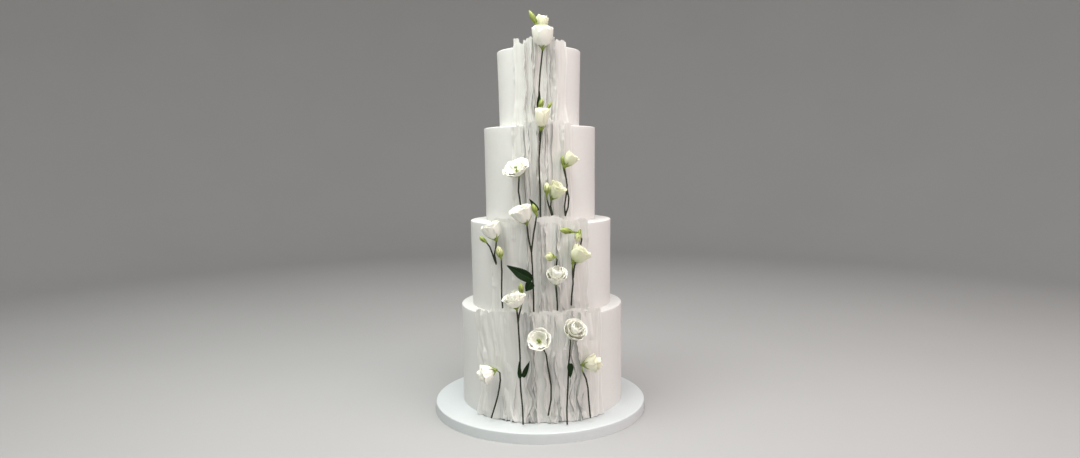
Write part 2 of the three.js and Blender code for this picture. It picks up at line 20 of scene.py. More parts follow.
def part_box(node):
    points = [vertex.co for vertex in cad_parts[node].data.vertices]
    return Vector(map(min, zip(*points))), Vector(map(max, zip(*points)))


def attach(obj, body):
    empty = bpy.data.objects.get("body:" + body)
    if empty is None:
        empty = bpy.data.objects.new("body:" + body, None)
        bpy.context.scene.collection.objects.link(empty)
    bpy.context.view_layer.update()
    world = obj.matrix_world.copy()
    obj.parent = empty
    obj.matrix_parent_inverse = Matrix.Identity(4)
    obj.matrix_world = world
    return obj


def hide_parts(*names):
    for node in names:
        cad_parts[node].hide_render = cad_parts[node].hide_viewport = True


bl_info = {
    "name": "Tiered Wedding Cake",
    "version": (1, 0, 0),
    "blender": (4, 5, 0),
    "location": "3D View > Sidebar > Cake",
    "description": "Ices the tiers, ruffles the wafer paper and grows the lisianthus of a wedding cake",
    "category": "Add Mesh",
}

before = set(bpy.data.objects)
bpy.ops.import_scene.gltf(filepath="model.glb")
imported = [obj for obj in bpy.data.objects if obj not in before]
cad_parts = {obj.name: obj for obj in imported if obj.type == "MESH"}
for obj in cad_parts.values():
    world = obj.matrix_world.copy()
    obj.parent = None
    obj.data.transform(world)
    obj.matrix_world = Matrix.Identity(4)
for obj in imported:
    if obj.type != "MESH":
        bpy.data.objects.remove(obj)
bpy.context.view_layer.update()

MM = 0.001
TIERS = (1, 2, 3, 4)
SMOOTH_ANGLE = math.radians(40)  # edges sharper than this stay sharp


def nodes_of(kind):
    return sorted(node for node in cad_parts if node.startswith(kind + "_"))


BLOOMS, BUDS, STEMS, LEAVES = (nodes_of(kind) for kind in ("bloom", "bud", "stem", "leaf"))


# ---------------------------------------------------------------------------------------------
# Settings
# ---------------------------------------------------------------------------------------------


def length(name, description, default):
    return FloatProperty(
        name=name, description=description, default=default, min=0, unit="LENGTH", precision=5
    )


def colour(name, description, default):
    return FloatVectorProperty(
        name=name, description=description, default=default, size=3, min=0, max=1, subtype="COLOR"
    )


class IcingSettings(bpy.types.PropertyGroup):
    """The iced tiers and the covered board."""

    sides: IntProperty(name="Sides", description="Faces round a tier", default=192, min=24)
    edge: length("Edge", "Radius of the top edges", 1.6 * MM)
    unevenness: length("Unevenness", "How far the spread icing strays from true", 0.5 * MM)
    icing: colour("Icing", "Colour of the tiers", (0.745, 0.745, 0.725))
    board: colour("Board", "Colour of the covered board", (0.645, 0.685, 0.695))


class PaperSettings(bpy.types.PropertyGroup):
    """The ruffles of wafer paper."""

    thickness: length("Thickness", "Thickness of the paper", 0.25 * MM)
    sheet_width: length("Sheet width", "Width of the broad sheets that lie on the wall", 30 * MM)
    sheet_pitch: length("Sheet pitch", "Distance between the broad sheets", 15 * MM)
    strip_width: length("Strip width", "Width of the narrow strips that stand out", 8 * MM)
    strip_pitch: length("Strip pitch", "Distance between the narrow strips where they are close", 4 * MM)
    sparse_pitch: length("Sparse pitch", "Distance between the narrow strips elsewhere", 20 * MM)
    clearance: length("Clearance", "Room between the paper and the flowers", 0.9 * MM)
    paper: colour("Paper", "Colour of the paper", (0.805, 0.805, 0.775))


class FlowerSettings(bpy.types.PropertyGroup):
    """The blooms and the buds."""

    petal: length("Petal", "Thickness of a petal", 0.28 * MM)
    frill: FloatProperty(
        name="Frill",
        description="Depth of a petal's waves, in shares of the bloom's radius",
        default=0.12,
        min=0,
    )
    white: colour("White", "Colour of an open bloom's petals", (0.985, 0.985, 0.9))
    cream: colour("Cream", "Colour of a closed bloom's petals", (0.955, 0.945, 0.75))
    young: colour("Young", "Colour of a bloom that has only just opened", (0.875, 0.885, 0.67))
    green: colour("Green", "Colour at the foot of a petal", (0.62, 0.69, 0.33))
    stigma: colour("Stigma", "Colour of the stigma in an open bloom", (0.2, 0.28, 0.05))
    pollen: colour("Pollen", "Colour of the stamens in an open bloom", (0.72, 0.72, 0.36))
    bud: colour("Bud", "Colour of a bud that is still green", (0.42, 0.5, 0.13))
    pale_bud: colour("Pale bud", "Colour of a bud that is about to open", (0.88, 0.9, 0.56))


class GreenerySettings(bpy.types.PropertyGroup):
    """The stems, the sepals and the leaves."""

    voxel: length("Voxel", "Size of the faces that a stem is built from", 0.45 * MM)
    bark: length("Bark", "How much thicker than its core a stem is", 0.12 * MM)
    leaf: length("Leaf", "Thickness of a leaf", 0.45 * MM)
    stem: colour("Stem", "Colour of an old stem", (0.016, 0.022, 0.009))
    young: colour("Young stem", "Colour of a calyx and its sepals", (0.24, 0.31, 0.055))
    blade: colour("Leaf", "Colour of a leaf", (0.006, 0.017, 0.004))


class StageSettings(bpy.types.PropertyGroup):
    """The camera, the floor and the lights."""

    lens: FloatProperty(name="Lens", description="Focal length in mm", default=23.12, min=1)
    eye: FloatVectorProperty(
        name="Eye",
        description="Where the camera stands",
        default=(2.9 * MM, -1085.4 * MM, 383 * MM),
        unit="LENGTH",
    )
    pitch: FloatProperty(
        name="Pitch",
        description="How far the camera looks down",
        default=math.radians(5.323),
        unit="ROTATION",
    )
    roll: FloatProperty(
        name="Roll",
        description="How far the camera leans to the right",
        default=math.radians(0.7),
        unit="ROTATION",
    )
    floor: colour("Floor", "Colour of the floor and the backdrop", (0.42, 0.42, 0.42))


# ---------------------------------------------------------------------------------------------
# Modelling helpers
# ---------------------------------------------------------------------------------------------


def select_only(*objects):
    bpy.ops.object.select_all(action="DESELECT")
    for obj in objects:
        obj.select_set(True)
    bpy.context.view_layer.objects.active = objects[0]


def joined(objects):
    """Several objects as one, with the slots of their materials kept."""
    select_only(*objects)
    if len(objects) > 1:
        bpy.ops.object.join()
    return bpy.context.active_object


def add_modifier(obj, kind, **settings):
    """Adds a modifier and applies it."""
    select_only(obj)
    modifier = obj.modifiers.new(kind.title(), kind)
    for name, value in settings.items():
        setattr(modifier, name, value)
    bpy.ops.object.modifier_apply(modifier=modifier.name)


def uneven(name, size):
    """A cloudy field of numbers for Displace modifiers, whose clouds have the given size."""
    texture = bpy.data.textures.get(name) or bpy.data.textures.new(name, "CLOUDS")
    texture.noise_scale = size
    return texture


def paint(obj, material):
    obj.data.materials.clear()
    obj.data.materials.append(material)


def dress(obj, name, slot, *nodes):
    """A finished piece that stands for these nodes of the frame."""
    obj.name = name
    obj.data.name = name
    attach(obj, "root")
    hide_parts(*nodes)


def corners(node):
    """A node's corners, each once. The node holds a copy of them for every triangle."""
    coordinates = np.array([vertex.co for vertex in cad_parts[node].data.vertices])
    return np.unique(coordinates.round(7), axis=0)


def smooth_step(share):
    share = np.clip(share, 0, 1)
    return share * share * (3 - 2 * share)


def flat_sheet(columns, rows):
    """A flat sheet, from which petals, leaves and strips of paper are shaped. Its UV map runs from its
    left to its right edge and from its foot to its tip."""
    bpy.ops.object.select_all(action="DESELECT")
    bpy.ops.mesh.primitive_grid_add(x_subdivisions=columns, y_subdivisions=rows, size=1)
    return bpy.context.active_object


def shaped_copy(sheet, shape):
    """A copy of a flat sheet with its points moved to where shape puts them, for their places from -1
    to 1 across the sheet and from 0 to 1 along it."""
    copy = sheet.copy()
    copy.data = sheet.data.copy()
    bpy.context.collection.objects.link(copy)
    flat = np.empty(3 * len(copy.data.vertices))
    copy.data.vertices.foreach_get("co", flat)
    x, y, _ = flat.reshape(-1, 3).T
    copy.data.vertices.foreach_set("co", shape(2 * x, y + 0.5).ravel())
    copy.data.update()
    return copy


def discard(obj):
    bpy.data.objects.remove(obj)


# ---------------------------------------------------------------------------------------------
# Materials
# ---------------------------------------------------------------------------------------------


# Shares of the light that go through to the other side.
PAPER_TRANSLUCENCY = 0.1
PETAL_TRANSLUCENCY = 0.12


class Finish:
    """A material with one Principled shader, whose pattern nodes are added one by one."""

    def __init__(self, name, **constants):
        self.material = bpy.data.materials.new(name)
        self.material.use_nodes = True
        self.tree = self.material.node_tree
        self.shader = self.tree.nodes["Principled BSDF"]
        for socket, value in constants.items():
            self.shader.inputs[socket.replace("_", " ")].default_value = value

    def add(self, kind, inputs=(), **settings):
        """Adds a node. Its inputs are values or other nodes' outputs, by socket name or number."""
        node = self.tree.nodes.new(kind)
        for name, value in settings.items():
            setattr(node, name, value)
        for socket, value in dict(inputs).items():
            if isinstance(value, bpy.types.NodeSocket):
                self.tree.links.new(value, node.inputs[socket])
            else:
                node.inputs[socket].default_value = value
        return node

    def coordinates(self, kind, stretch=(1, 1, 1)):
        place = self.add("ShaderNodeTexCoord").outputs[kind]
        return self.add("ShaderNodeMapping", {"Vector": place, "Scale": stretch}).outputs[0]

    def noise(self, place, scale, detail, distortion=0):
        inputs = {"Vector": place, "Scale": scale, "Detail": detail, "Distortion": distortion}
        return self.add("ShaderNodeTexNoise", inputs).outputs["Fac"]

    def remap(self, value, low, high, new_low=0, new_high=1):
        inputs = {"Value": value, 1: low, 2: high, 3: new_low, 4: new_high}
        return self.add("ShaderNodeMapRange", inputs).outputs[0]

    def math(self, operation, first, second=0.5):
        return self.add("ShaderNodeMath", {0: first, 1: second}, operation=operation).outputs[0]

    def mix(self, share, first, second):
        """Two colours mixed by a share."""
        inputs = {0: share, 6: self.opaque(first), 7: self.opaque(second)}
        return self.add("ShaderNodeMix", inputs, data_type="RGBA").outputs[2]

    @staticmethod
    def opaque(value):
        return value if isinstance(value, bpy.types.NodeSocket) else (*value, 1)

    def link(self, socket, value):
        self.tree.links.new(value, self.shader.inputs[socket])

    def bump(self, height, distance):
        inputs = {"Height": height, "Distance": distance, "Strength": 1}
        self.link("Normal", self.add("ShaderNodeBump", inputs).outputs[0])

    def let_light_through(self, share, tint):
        """Lets a share of the light on one side of a thin sheet through to the other."""
        through = self.add("ShaderNodeBsdfTranslucent", {"Color": self.opaque(tint)}).outputs[0]
        inputs = {0: share, 1: self.shader.outputs[0], 2: through}
        both = self.add("ShaderNodeMixShader", inputs).outputs[0]
        self.tree.links.new(both, self.tree.nodes["Material Output"].inputs["Surface"])


def shade(tint, factor):
    return tuple(min(1, factor * channel) for channel in tint)


def icing_finish(name, tint, roughness):
    """Smooth icing that light sinks a little into: faint clouds of colour, and the marks that a scraper
    leaves round the wall."""
    finish = Finish(
        name,
        Roughness=roughness,
        Subsurface_Weight=0.12,
        Subsurface_Radius=(1, 1, 1),
        Subsurface_Scale=4 * MM,
    )
    place = finish.coordinates("Object")
    clouds = finish.noise(place, 9, 4)
    specks = finish.noise(place, 160, 3)
    tone = finish.mix(finish.remap(clouds, 0.3, 0.7), shade(tint, 0.965), tint)
    tone = finish.mix(finish.remap(specks, 0.35, 0.65, 0, 0.35), tone, shade(tint, 1.03))
    finish.link("Base Color", tone)
    finish.link("Roughness", finish.remap(clouds, 0.3, 0.7, roughness - 0.06, roughness + 0.06))
    marks = finish.noise(finish.coordinates("Object", (1, 1, 5)), 11, 3)
    grain = finish.noise(place, 420, 2)
    finish.bump(finish.math("ADD", marks, finish.math("MULTIPLY", grain, 0.3)), 0.14 * MM)
    return finish.material


def paper_finish(tint):
    """Wafer paper: thin enough to let light through, cloudy, with creases along each strip, along which
    its colour is darkened as painted shade. A painted highlight lightens a strip's free edge, and painted
    shade darkens it towards the edge that is fixed to the wall, where the strips shade each other."""
    finish = Finish("wafer_paper", Roughness=0.6, Sheen_Weight=0.1, Sheen_Roughness=0.5)
    clouds = finish.noise(finish.coordinates("Object"), 45, 4)
    creases = finish.noise(finish.coordinates("UV", (9, 1.6, 1)), 1, 4, 0.3)
    fibres = finish.noise(finish.coordinates("UV", (9, 2, 1)), 6, 3, 0.4)
    across = finish.add("ShaderNodeSeparateXYZ", {0: finish.coordinates("UV")}).outputs["X"]
    tone = finish.mix(finish.remap(clouds, 0.3, 0.7), shade(tint, 0.965), tint)
    # Painted shade: the paper's colour is darkened along the creases, where fine folds would be in shade.
    tone = finish.mix(finish.remap(creases, 0.35, 0.6, 0.9, 0), tone, shade(tint, 0.89))
    tone = finish.mix(finish.remap(fibres, 0.4, 0.75, 0, 0.5), tone, shade(tint, 1.03))
    # Painted shade: darker towards the fixed edge, where the strips stand in each other's shade.
    tone = finish.mix(finish.remap(across, 0, 0.6, 0.3, 0), tone, shade(tint, 0.94))
    # Painted highlight: lighter along the free edge, as a lit edge of paper looks.
    finish.link("Base Color", finish.mix(finish.remap(across, 0.9, 1, 0, 0.8), tone, shade(tint, 1.1)))
    finish.link("Roughness", finish.remap(clouds, 0.3, 0.7, 0.5, 0.7))
    finish.bump(finish.math("ADD", creases, finish.math("MULTIPLY", fibres, 0.12)), 0.7 * MM)
    finish.let_light_through(PAPER_TRANSLUCENCY, tint)
    return finish.material


def petal_finish(name, tint, foot, foot_reach):
    """A petal or another small part of a flower: it lets a little light through, its foot's colour
    fades out towards the rim, and fine veins run along it."""
    finish = Finish(name, Roughness=0.5)
    along = finish.add("ShaderNodeSeparateXYZ", {0: finish.coordinates("UV")}).outputs["Y"]
    veins = finish.noise(finish.coordinates("UV", (26, 1.5, 1)), 1.6, 4, 0.3)
    clouds = finish.noise(finish.coordinates("Object"), 160, 3)
    edge = finish.math("ADD", along, finish.remap(clouds, 0.3, 0.7, -0.07, 0.07))
    tone = finish.mix(finish.remap(edge, 0.04, foot_reach), foot, tint)
    finish.link("Base Color", finish.mix(finish.remap(veins, 0.5, 0.85, 0, 0.5), tone, shade(tint, 0.9)))
    finish.link("Roughness", finish.remap(clouds, 0.3, 0.7, 0.42, 0.58))
    finish.bump(veins, 0.2 * MM)
    finish.let_light_through(PETAL_TRANSLUCENCY, tone)
    return finish.material


def stem_finish(tint, young):
    """A stem: young and light under its flower, old and dark below, with fine ribs."""
    finish = Finish("stem_green", Roughness=0.5, Specular_IOR_Level=0.35)
    share = finish.add("ShaderNodeAttribute", attribute_name="young").outputs["Fac"]
    place = finish.coordinates("Object")
    clouds = finish.noise(place, 220, 4)
    ribs = finish.noise(finish.coordinates("Object", (1, 1, 0.12)), 1500, 2)
    old = finish.mix(finish.remap(clouds, 0.4, 0.75), tint, shade(tint, 1.6))
    fresh = finish.mix(finish.remap(clouds, 0.35, 0.7), young, shade(young, 1.3))
    finish.link("Base Color", finish.mix(share, old, fresh))
    finish.link("Roughness", finish.remap(clouds, 0.3, 0.7, 0.42, 0.6))
    finish.bump(ribs, 0.2 * MM)
    return finish.material


def leaf_finish(tint):
    """A leaf: a light midrib, fine veins beside it, and a waxy shine."""
    finish = Finish("leaf_green", Roughness=0.5, Specular_IOR_Level=0.14)
    across = finish.add("ShaderNodeSeparateXYZ", {0: finish.coordinates("UV")}).outputs["X"]
    from_rib = finish.math("ABSOLUTE", finish.math("SUBTRACT", across, 0.5))
    rib = finish.remap(from_rib, 0.012, 0.05, 1, 0)
    veins = finish.noise(finish.coordinates("UV", (22, 1.2, 1)), 1.4, 3, 0.8)
    clouds = finish.noise(finish.coordinates("Object"), 130, 4)
    blade = finish.mix(finish.remap(clouds, 0.3, 0.7), tint, shade(tint, 1.8))
    blade = finish.mix(finish.remap(veins, 0.5, 0.75, 0, 0.4), blade, shade(tint, 3))
    finish.link("Base Color", finish.mix(finish.math("MULTIPLY", rib, 0.6), blade, shade(tint, 4.5)))
    finish.link("Roughness", finish.remap(clouds, 0.3, 0.7, 0.42, 0.58))
    finish.bump(finish.math("SUBTRACT", veins, finish.math("MULTIPLY", rib, 0.8)), 0.3 * MM)
    return finish.material


# ---------------------------------------------------------------------------------------------
# Places on the cake
# ---------------------------------------------------------------------------------------------


class Tier:
    """A tier as the frame holds it: its axis, its height and the radius of its wall."""

    def __init__(self, number):
        low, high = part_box(f"tier_{number}")
        self.number = number
        self.centre = Vector(((low.x + high.x) / 2, (low.y + high.y) / 2, low.z))
        self.height = high.z - low.z
        points = corners(f"tier_{number}")
        radius = np.hypot(points[:, 0] - self.centre.x, points[:, 1] - self.centre.y)
        rise = points[:, 2] - low.z
        self.bottom_radius = radius[rise < MM].max()
        self.top_radius = radius[rise > self.height / 2].max()

    def wall(self, height):
        share = np.clip(height / self.height, 0, 1)
        return self.bottom_radius + (self.top_radius - self.bottom_radius) * share

    def point(self, angle, height, stand_off):
        radius = self.wall(height) + stand_off
        x = self.centre.x + radius * np.sin(angle)
        y = self.centre.y - radius * np.cos(angle)
        return np.stack([x, y, self.centre.z + height], axis=-1)

    def place(self, points):
        """The angles, heights and stand-offs of points."""
        x, y, z = (points - np.array(self.centre)).T
        return np.arctan2(x, -y), z, np.hypot(x, y) - self.wall(z)


class Panel:
    """The room that the frame gives a tier's ruffles: the angles of its edges, the places of its edges
    along the wall, how far it rises above the tier, how deep it is and how much deeper at its foot."""

    def __init__(self, tier):
        angle, height, stand_off = tier.place(corners(f"ruffle_tier_{tier.number}"))
        self.left, self.right = angle.min(), angle.max()
        self.span = self.left * tier.bottom_radius, self.right * tier.bottom_radius
        self.rise = height.max() - tier.height
        middle = (height > 0.3 * tier.height) & (height < 0.8 * tier.height)
        self.depth = stand_off[middle].max()
        self.flare = stand_off[height < 2 * MM].max() / self.depth - 1


class Clearance:
    """A map of how far paper on a tier may stand off before it meets a flower, a stem or a leaf."""

    CELL = 1.6 * MM
    OPEN = 40 * MM  # the room where there is no plant
    SPARE = 12 * MM  # how far the map reaches past the panel
    SPREAD = 2  # how many cells round a plant have no more room than it leaves

    def __init__(self, tier, panel, plants, margin):
        spare = self.SPARE / tier.bottom_radius
        self.angles = np.arange(panel.left - spare, panel.right + spare, self.CELL / tier.bottom_radius)
        self.heights = np.arange(-self.CELL, tier.height + panel.rise + self.SPARE, self.CELL)
        room = np.full((len(self.heights), len(self.angles)), self.OPEN)
        for row, height in enumerate(self.heights):
            for column, angle in enumerate(self.angles):
                start = Vector(tier.point(angle, height, 0))
                outwards = Vector((math.sin(angle), -math.cos(angle), 0))
                distance = plants.ray_cast(start, outwards, self.OPEN)[3]
                if distance is not None:
                    room[row, column] = distance
        least = np.minimum.reduce(self.neighbours(room, self.SPREAD))
        self.room = np.mean(self.neighbours(least, 1), axis=0) - margin

    @staticmethod
    def neighbours(grid, reach):
        """The grid shifted by every step up to reach, with its rim repeated."""
        rows, columns = grid.shape
        padded = np.pad(grid, reach, mode="edge")
        span = range(2 * reach + 1)
        return [padded[row : row + rows, column : column + columns] for row in span for column in span]

    def at(self, angle, height):
        """The room at places, between the cells of the map."""
        row = np.clip((height - self.heights[0]) / self.CELL, 0, len(self.heights) - 1.001)
        step = self.angles[1] - self.angles[0]
        column = np.clip((angle - self.angles[0]) / step, 0, len(self.angles) - 1.001)
        i, j = row.astype(int), column.astype(int)
        down, right = row - i, column - j
        low = self.room[i, j] * (1 - right) + self.room[i, j + 1] * right
        high = self.room[i + 1, j] * (1 - right) + self.room[i + 1, j + 1] * right
        return low * (1 - down) + high * down


def plants_tree():
    """All flowers, stems and leaves of the frame as one tree for casting rays."""
    points, faces = [], []
    for node in BLOOMS + BUDS + STEMS + LEAVES:
        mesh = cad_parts[node].data
        start = len(points)
        points += [vertex.co.copy() for vertex in mesh.vertices]
        faces += [[start + index for index in face.vertices] for face in mesh.polygons]
    return BVHTree.FromPolygons(points, faces)


class Seat:
    """Where a bloom or a bud sits: its own axes, with +Z from its foot to its tip, and its size.

    A node of this kind is as wide every way round its axis. Of the three principal widths two are then
    alike, and the axis is the third one's.
    """

    def __init__(self, node):
        points = corners(node)
        centre = points.mean(axis=0)
        widths, directions = np.linalg.eigh(np.cov((points - centre).T))
        alike = [abs(widths[1] - widths[2]), abs(widths[0] - widths[2]), abs(widths[0] - widths[1])]
        axis = directions[:, int(np.argmin(alike))]
        along = (points - centre) @ axis
        stem = corners("stem_" + self.spray(node))
        ends = [centre + axis * along.min(), centre + axis * along.max()]
        near = [np.linalg.norm(stem - end, axis=1).min() for end in ends]
        if near[1] < near[0]:
            axis, along = -axis, -along
        self.foot = Vector(centre + axis * along.min())
        self.height = along.max() - along.min()
        radius = np.linalg.norm(points - centre - np.outer(along, axis), axis=1)
        self.radius = radius.max()
        self.rim_share = (along[radius.argmax()] - along.min()) / self.height
        up = Vector(axis)
        side = up.cross(Vector((0, 0, 1)) if abs(up.z) < 0.9 else Vector((0, 1, 0))).normalized()
        self.axes = np.array([side, up.cross(side), up])

    @staticmethod
    def spray(node):
        """The name of the spray that a bloom or a bud belongs to."""
        name = node.split("_", 1)[1]
        return name.rsplit("_", 1)[0] if node.startswith("bud_") else name

    def to_frame(self, x, y, z):
        return np.stack([x, y, z], axis=-1) @ self.axes + np.array(self.foot)

    def distance(self, points):
        """How far points are from the column over the flower's foot that is half as wide as the flower."""
        own = (points - np.array(self.foot)) @ self.axes.T
        beside = np.maximum(np.hypot(own[:, 0], own[:, 1]) - 0.5 * self.radius, 0)
        return np.hypot(beside, np.maximum(-own[:, 2], 0))


def seats_of(stem):
    """The seats of the bloom and the buds that a stem holds, with their nodes' names."""
    spray = stem.split("_", 1)[1]
    return [(node, Seat(node)) for node in BLOOMS + BUDS if Seat.spray(node) == spray]


# ---------------------------------------------------------------------------------------------
# Board and tiers
# ---------------------------------------------------------------------------------------------

FOOT_SUNK = 0.5 * MM  # how deep a tier is set into the icing under it
EDGE_STEPS = 6
WALL_STEP = 8 * MM
TOP_RINGS = 8
TOP_SPREAD = 0.9  # share of the top's radius over which its rings lie


def select_parts(obj, kind, chosen):
    """Selects the faces or edges for which chosen is true, in edit mode."""
    bpy.ops.mesh.select_mode(type=kind)
    bpy.ops.mesh.select_all(action="DESELECT")
    mesh = bmesh.from_edit_mesh(obj.data)
    for part in mesh.faces if kind == "FACE" else mesh.edges:
        if chosen(part):
            part.select_set(True)
    bmesh.update_edit_mesh(obj.data)


def iced_slab(settings, centre, bottom_radius, top_radius, height):
    """A round slab of icing with a rounded top edge, whose faces are fine enough to be uneven."""
    bpy.ops.object.select_all(action="DESELECT")
    middle = (centre.x, centre.y, centre.z + height / 2)
    bpy.ops.mesh.primitive_cylinder_add(
        vertices=settings.sides, radius=bottom_radius, depth=height, location=middle
    )
    slab = bpy.context.active_object
    bpy.ops.object.mode_set(mode="EDIT")
    select_parts(slab, "FACE", lambda face: face.normal.z > 0.9)
    share = top_radius / bottom_radius
    top = (centre.x, centre.y, centre.z + height)
    bpy.ops.transform.resize(value=(share, share, 1), center_override=top)
    bpy.ops.mesh.bevel(offset=settings.edge, segments=EDGE_STEPS, affect="EDGES")
    select_parts(slab, "FACE", lambda face: face.normal.z > 0.99 and len(face.verts) > 4)
    for _ in range(TOP_RINGS):
        bpy.ops.mesh.inset(thickness=TOP_SPREAD * top_radius / TOP_RINGS)
    bpy.ops.mesh.poke()
    select_parts(slab, "EDGE", lambda edge: abs(edge.verts[0].co.z - edge.verts[1].co.z) > height / 2)
    bpy.ops.mesh.subdivide(number_cuts=max(1, round(height / WALL_STEP)))
    bpy.ops.object.mode_set(mode="OBJECT")
    bpy.ops.object.transform_apply(location=True)
    return slab


def spread_icing(slab, unevenness):
    """Makes a slab a little uneven everywhere but at its foot."""
    lowest = min(vertex.co.z for vertex in slab.data.vertices)
    above = [vertex.index for vertex in slab.data.vertices if vertex.co.z > lowest + MM]
    group = slab.vertex_groups.new(name="uneven")
    group.add(above, 1, "REPLACE")
    broad, fine = uneven("broad_waves", 60 * MM), uneven("fine_waves", 14 * MM)
    for texture, strength in ((broad, unevenness), (fine, unevenness / 4)):
        settings = {"texture": texture, "strength": strength, "vertex_group": "uneven"}
        add_modifier(slab, "DISPLACE", mid_level=0.5, **settings)
    slab.vertex_groups.clear()
    bpy.ops.object.shade_smooth_by_angle(angle=SMOOTH_ANGLE)


class CAKE_OT_ice_board(bpy.types.Operator):
    """Covers the round board under the cake"""

    bl_idname = "cake.ice_board"
    bl_label = "Ice the Board"
    bl_options = {"REGISTER", "UNDO"}

    def execute(self, context):
        settings = context.scene.cake_icing
        low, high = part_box("cake_board")
        centre = Vector(((low.x + high.x) / 2, (low.y + high.y) / 2, low.z))
        radius = (high.x - low.x) / 2
        board = iced_slab(settings, centre, radius, radius, high.z - low.z)
        spread_icing(board, settings.unevenness / 2)
        paint(board, icing_finish("board_icing", settings.board, 0.42))
        dress(board, "covered_board", "board", "cake_board")
        return {"FINISHED"}


class CAKE_OT_ice_tiers(bpy.types.Operator):
    """Ices the tiers"""

    bl_idname = "cake.ice_tiers"
    bl_label = "Ice the Tiers"
    bl_options = {"REGISTER", "UNDO"}

    def execute(self, context):
        settings = context.scene.cake_icing
        icing = icing_finish("tier_icing", settings.icing, 0.58)
        for number in TIERS:
            tier = Tier(number)
            foot = tier.centre - Vector((0, 0, FOOT_SUNK))
            slab = iced_slab(settings, foot, tier.bottom_radius, tier.top_radius, tier.height + FOOT_SUNK)
            spread_icing(slab, settings.unevenness)
            paint(slab, icing)
            dress(slab, f"iced_tier_{number}", "icing", f"tier_{number}")
        return {"FINISHED"}


# ---------------------------------------------------------------------------------------------
# Ruffles
# ---------------------------------------------------------------------------------------------

STRIP_GRID = (8, 76)  # faces across and along a narrow strip
SHEET_GRID = (18, 48)  # and a broad sheet
FLARE_HEIGHT = 34 * MM  # below this the paper spreads out, most of all over the board
LOWEST_STAND_OFF = 0.5 * MM
TEAR = 0.5 * MM  # how ragged the tops of the strips are
PAPER_SMOOTH_ANGLE = math.radians(50)
FREE_EDGE_SHARE = 0.45  # the sheets before this share of a panel have their free edges on the left


@dataclass
class Ruffling:
    """How a tier's panel is ruffled: the share of it, from its left to its right edge, in which narrow
    strips stand close together and the degrees that they lean there, how lively its paper waves, how
    far the feet of its strips stray and how far the strips wander to the side, how many short strips
    stand at its foot, how high the tops of its paper are, in shares of its rise above the tier, how
    steeply the folds of its sheets run down to the right, how far to the right the feet of the paper at
    its left edge are, and how steep the peaks at the tops of its sheets are."""

    close: tuple
    leans: tuple
    liveliness: float
    stray: float
    wander: float
    short_strips: int
    tops: tuple
    slant: float = 0
    tilt: float = 0
    peaks: tuple = (0.1, 0.45)

    def closeness(self, share):
        """1 where the strips are close together, 0 well outside of there."""
        outside = max(self.close[0] - share, share - self.close[1])
        return 1 - smooth_step(outside / 0.1)


RUFFLINGS = {
    1: Ruffling((0.4, 0.78), (46, 74), 1, 8 * MM, 3 * MM, 8, (0.1, 0.5), 0.5, 14 * MM),
    2: Ruffling((0.34, 0.76), (46, 72), 0.9, 3 * MM, 1.5 * MM, 0, (0.05, 0.65), 0.1, 3 * MM, (0.2, 0.8)),
    3: Ruffling((0.12, 0.76), (44, 72), 0.9, 3 * MM, 1.5 * MM, 0, (-0.1, 0.55)),
    4: Ruffling((0.18, 0.66), (30, 60), 0.8, 2 * MM, 1 * MM, 0, (0.7, 0.95), peaks=(0.5, 1.2)),
}


@dataclass
class Strip:
    """A strip of paper that is fixed to the wall along one edge. Lean is the angle between the strip
    and the way out of the wall, to the right; curl is how much more it leans at its free edge."""

    root: float  # place along the wall, to the right of the tier's front
    width: float
    lean: float
    sway: float
    sway_length: float
    curl: float
    frill: float
    frill_length: float
    phase: float
    top: float
    foot: float
    arch: float  # how much higher than its foot the ends of its lower edge are
    stray: float  # how far to the right its foot is bent
    peaks: tuple  # shares of its width at which its ragged top is highest
    slopes: tuple
    dip: float = 0.1  # how much lower the second peak is, in shares of its width
    tilt: float = 0  # how far to the right of its top it stands
    wander: float = 0  # how far it strays from its line
    wander_length: float = 70 * MM
    fold: float = 0  # depth of its folds
    fold_length: float = 12 * MM
    slant: float = 0
    pleat: float = 0  # depth of the fine pleats at its foot
    pleat_length: float = 6 * MM
    opening: float = 0.2  # share of its lean that it loses at the foot
    widening: float = 0.3  # how much of the foot's flare goes into its width; the rest pushes it out
    push: float = 0.5


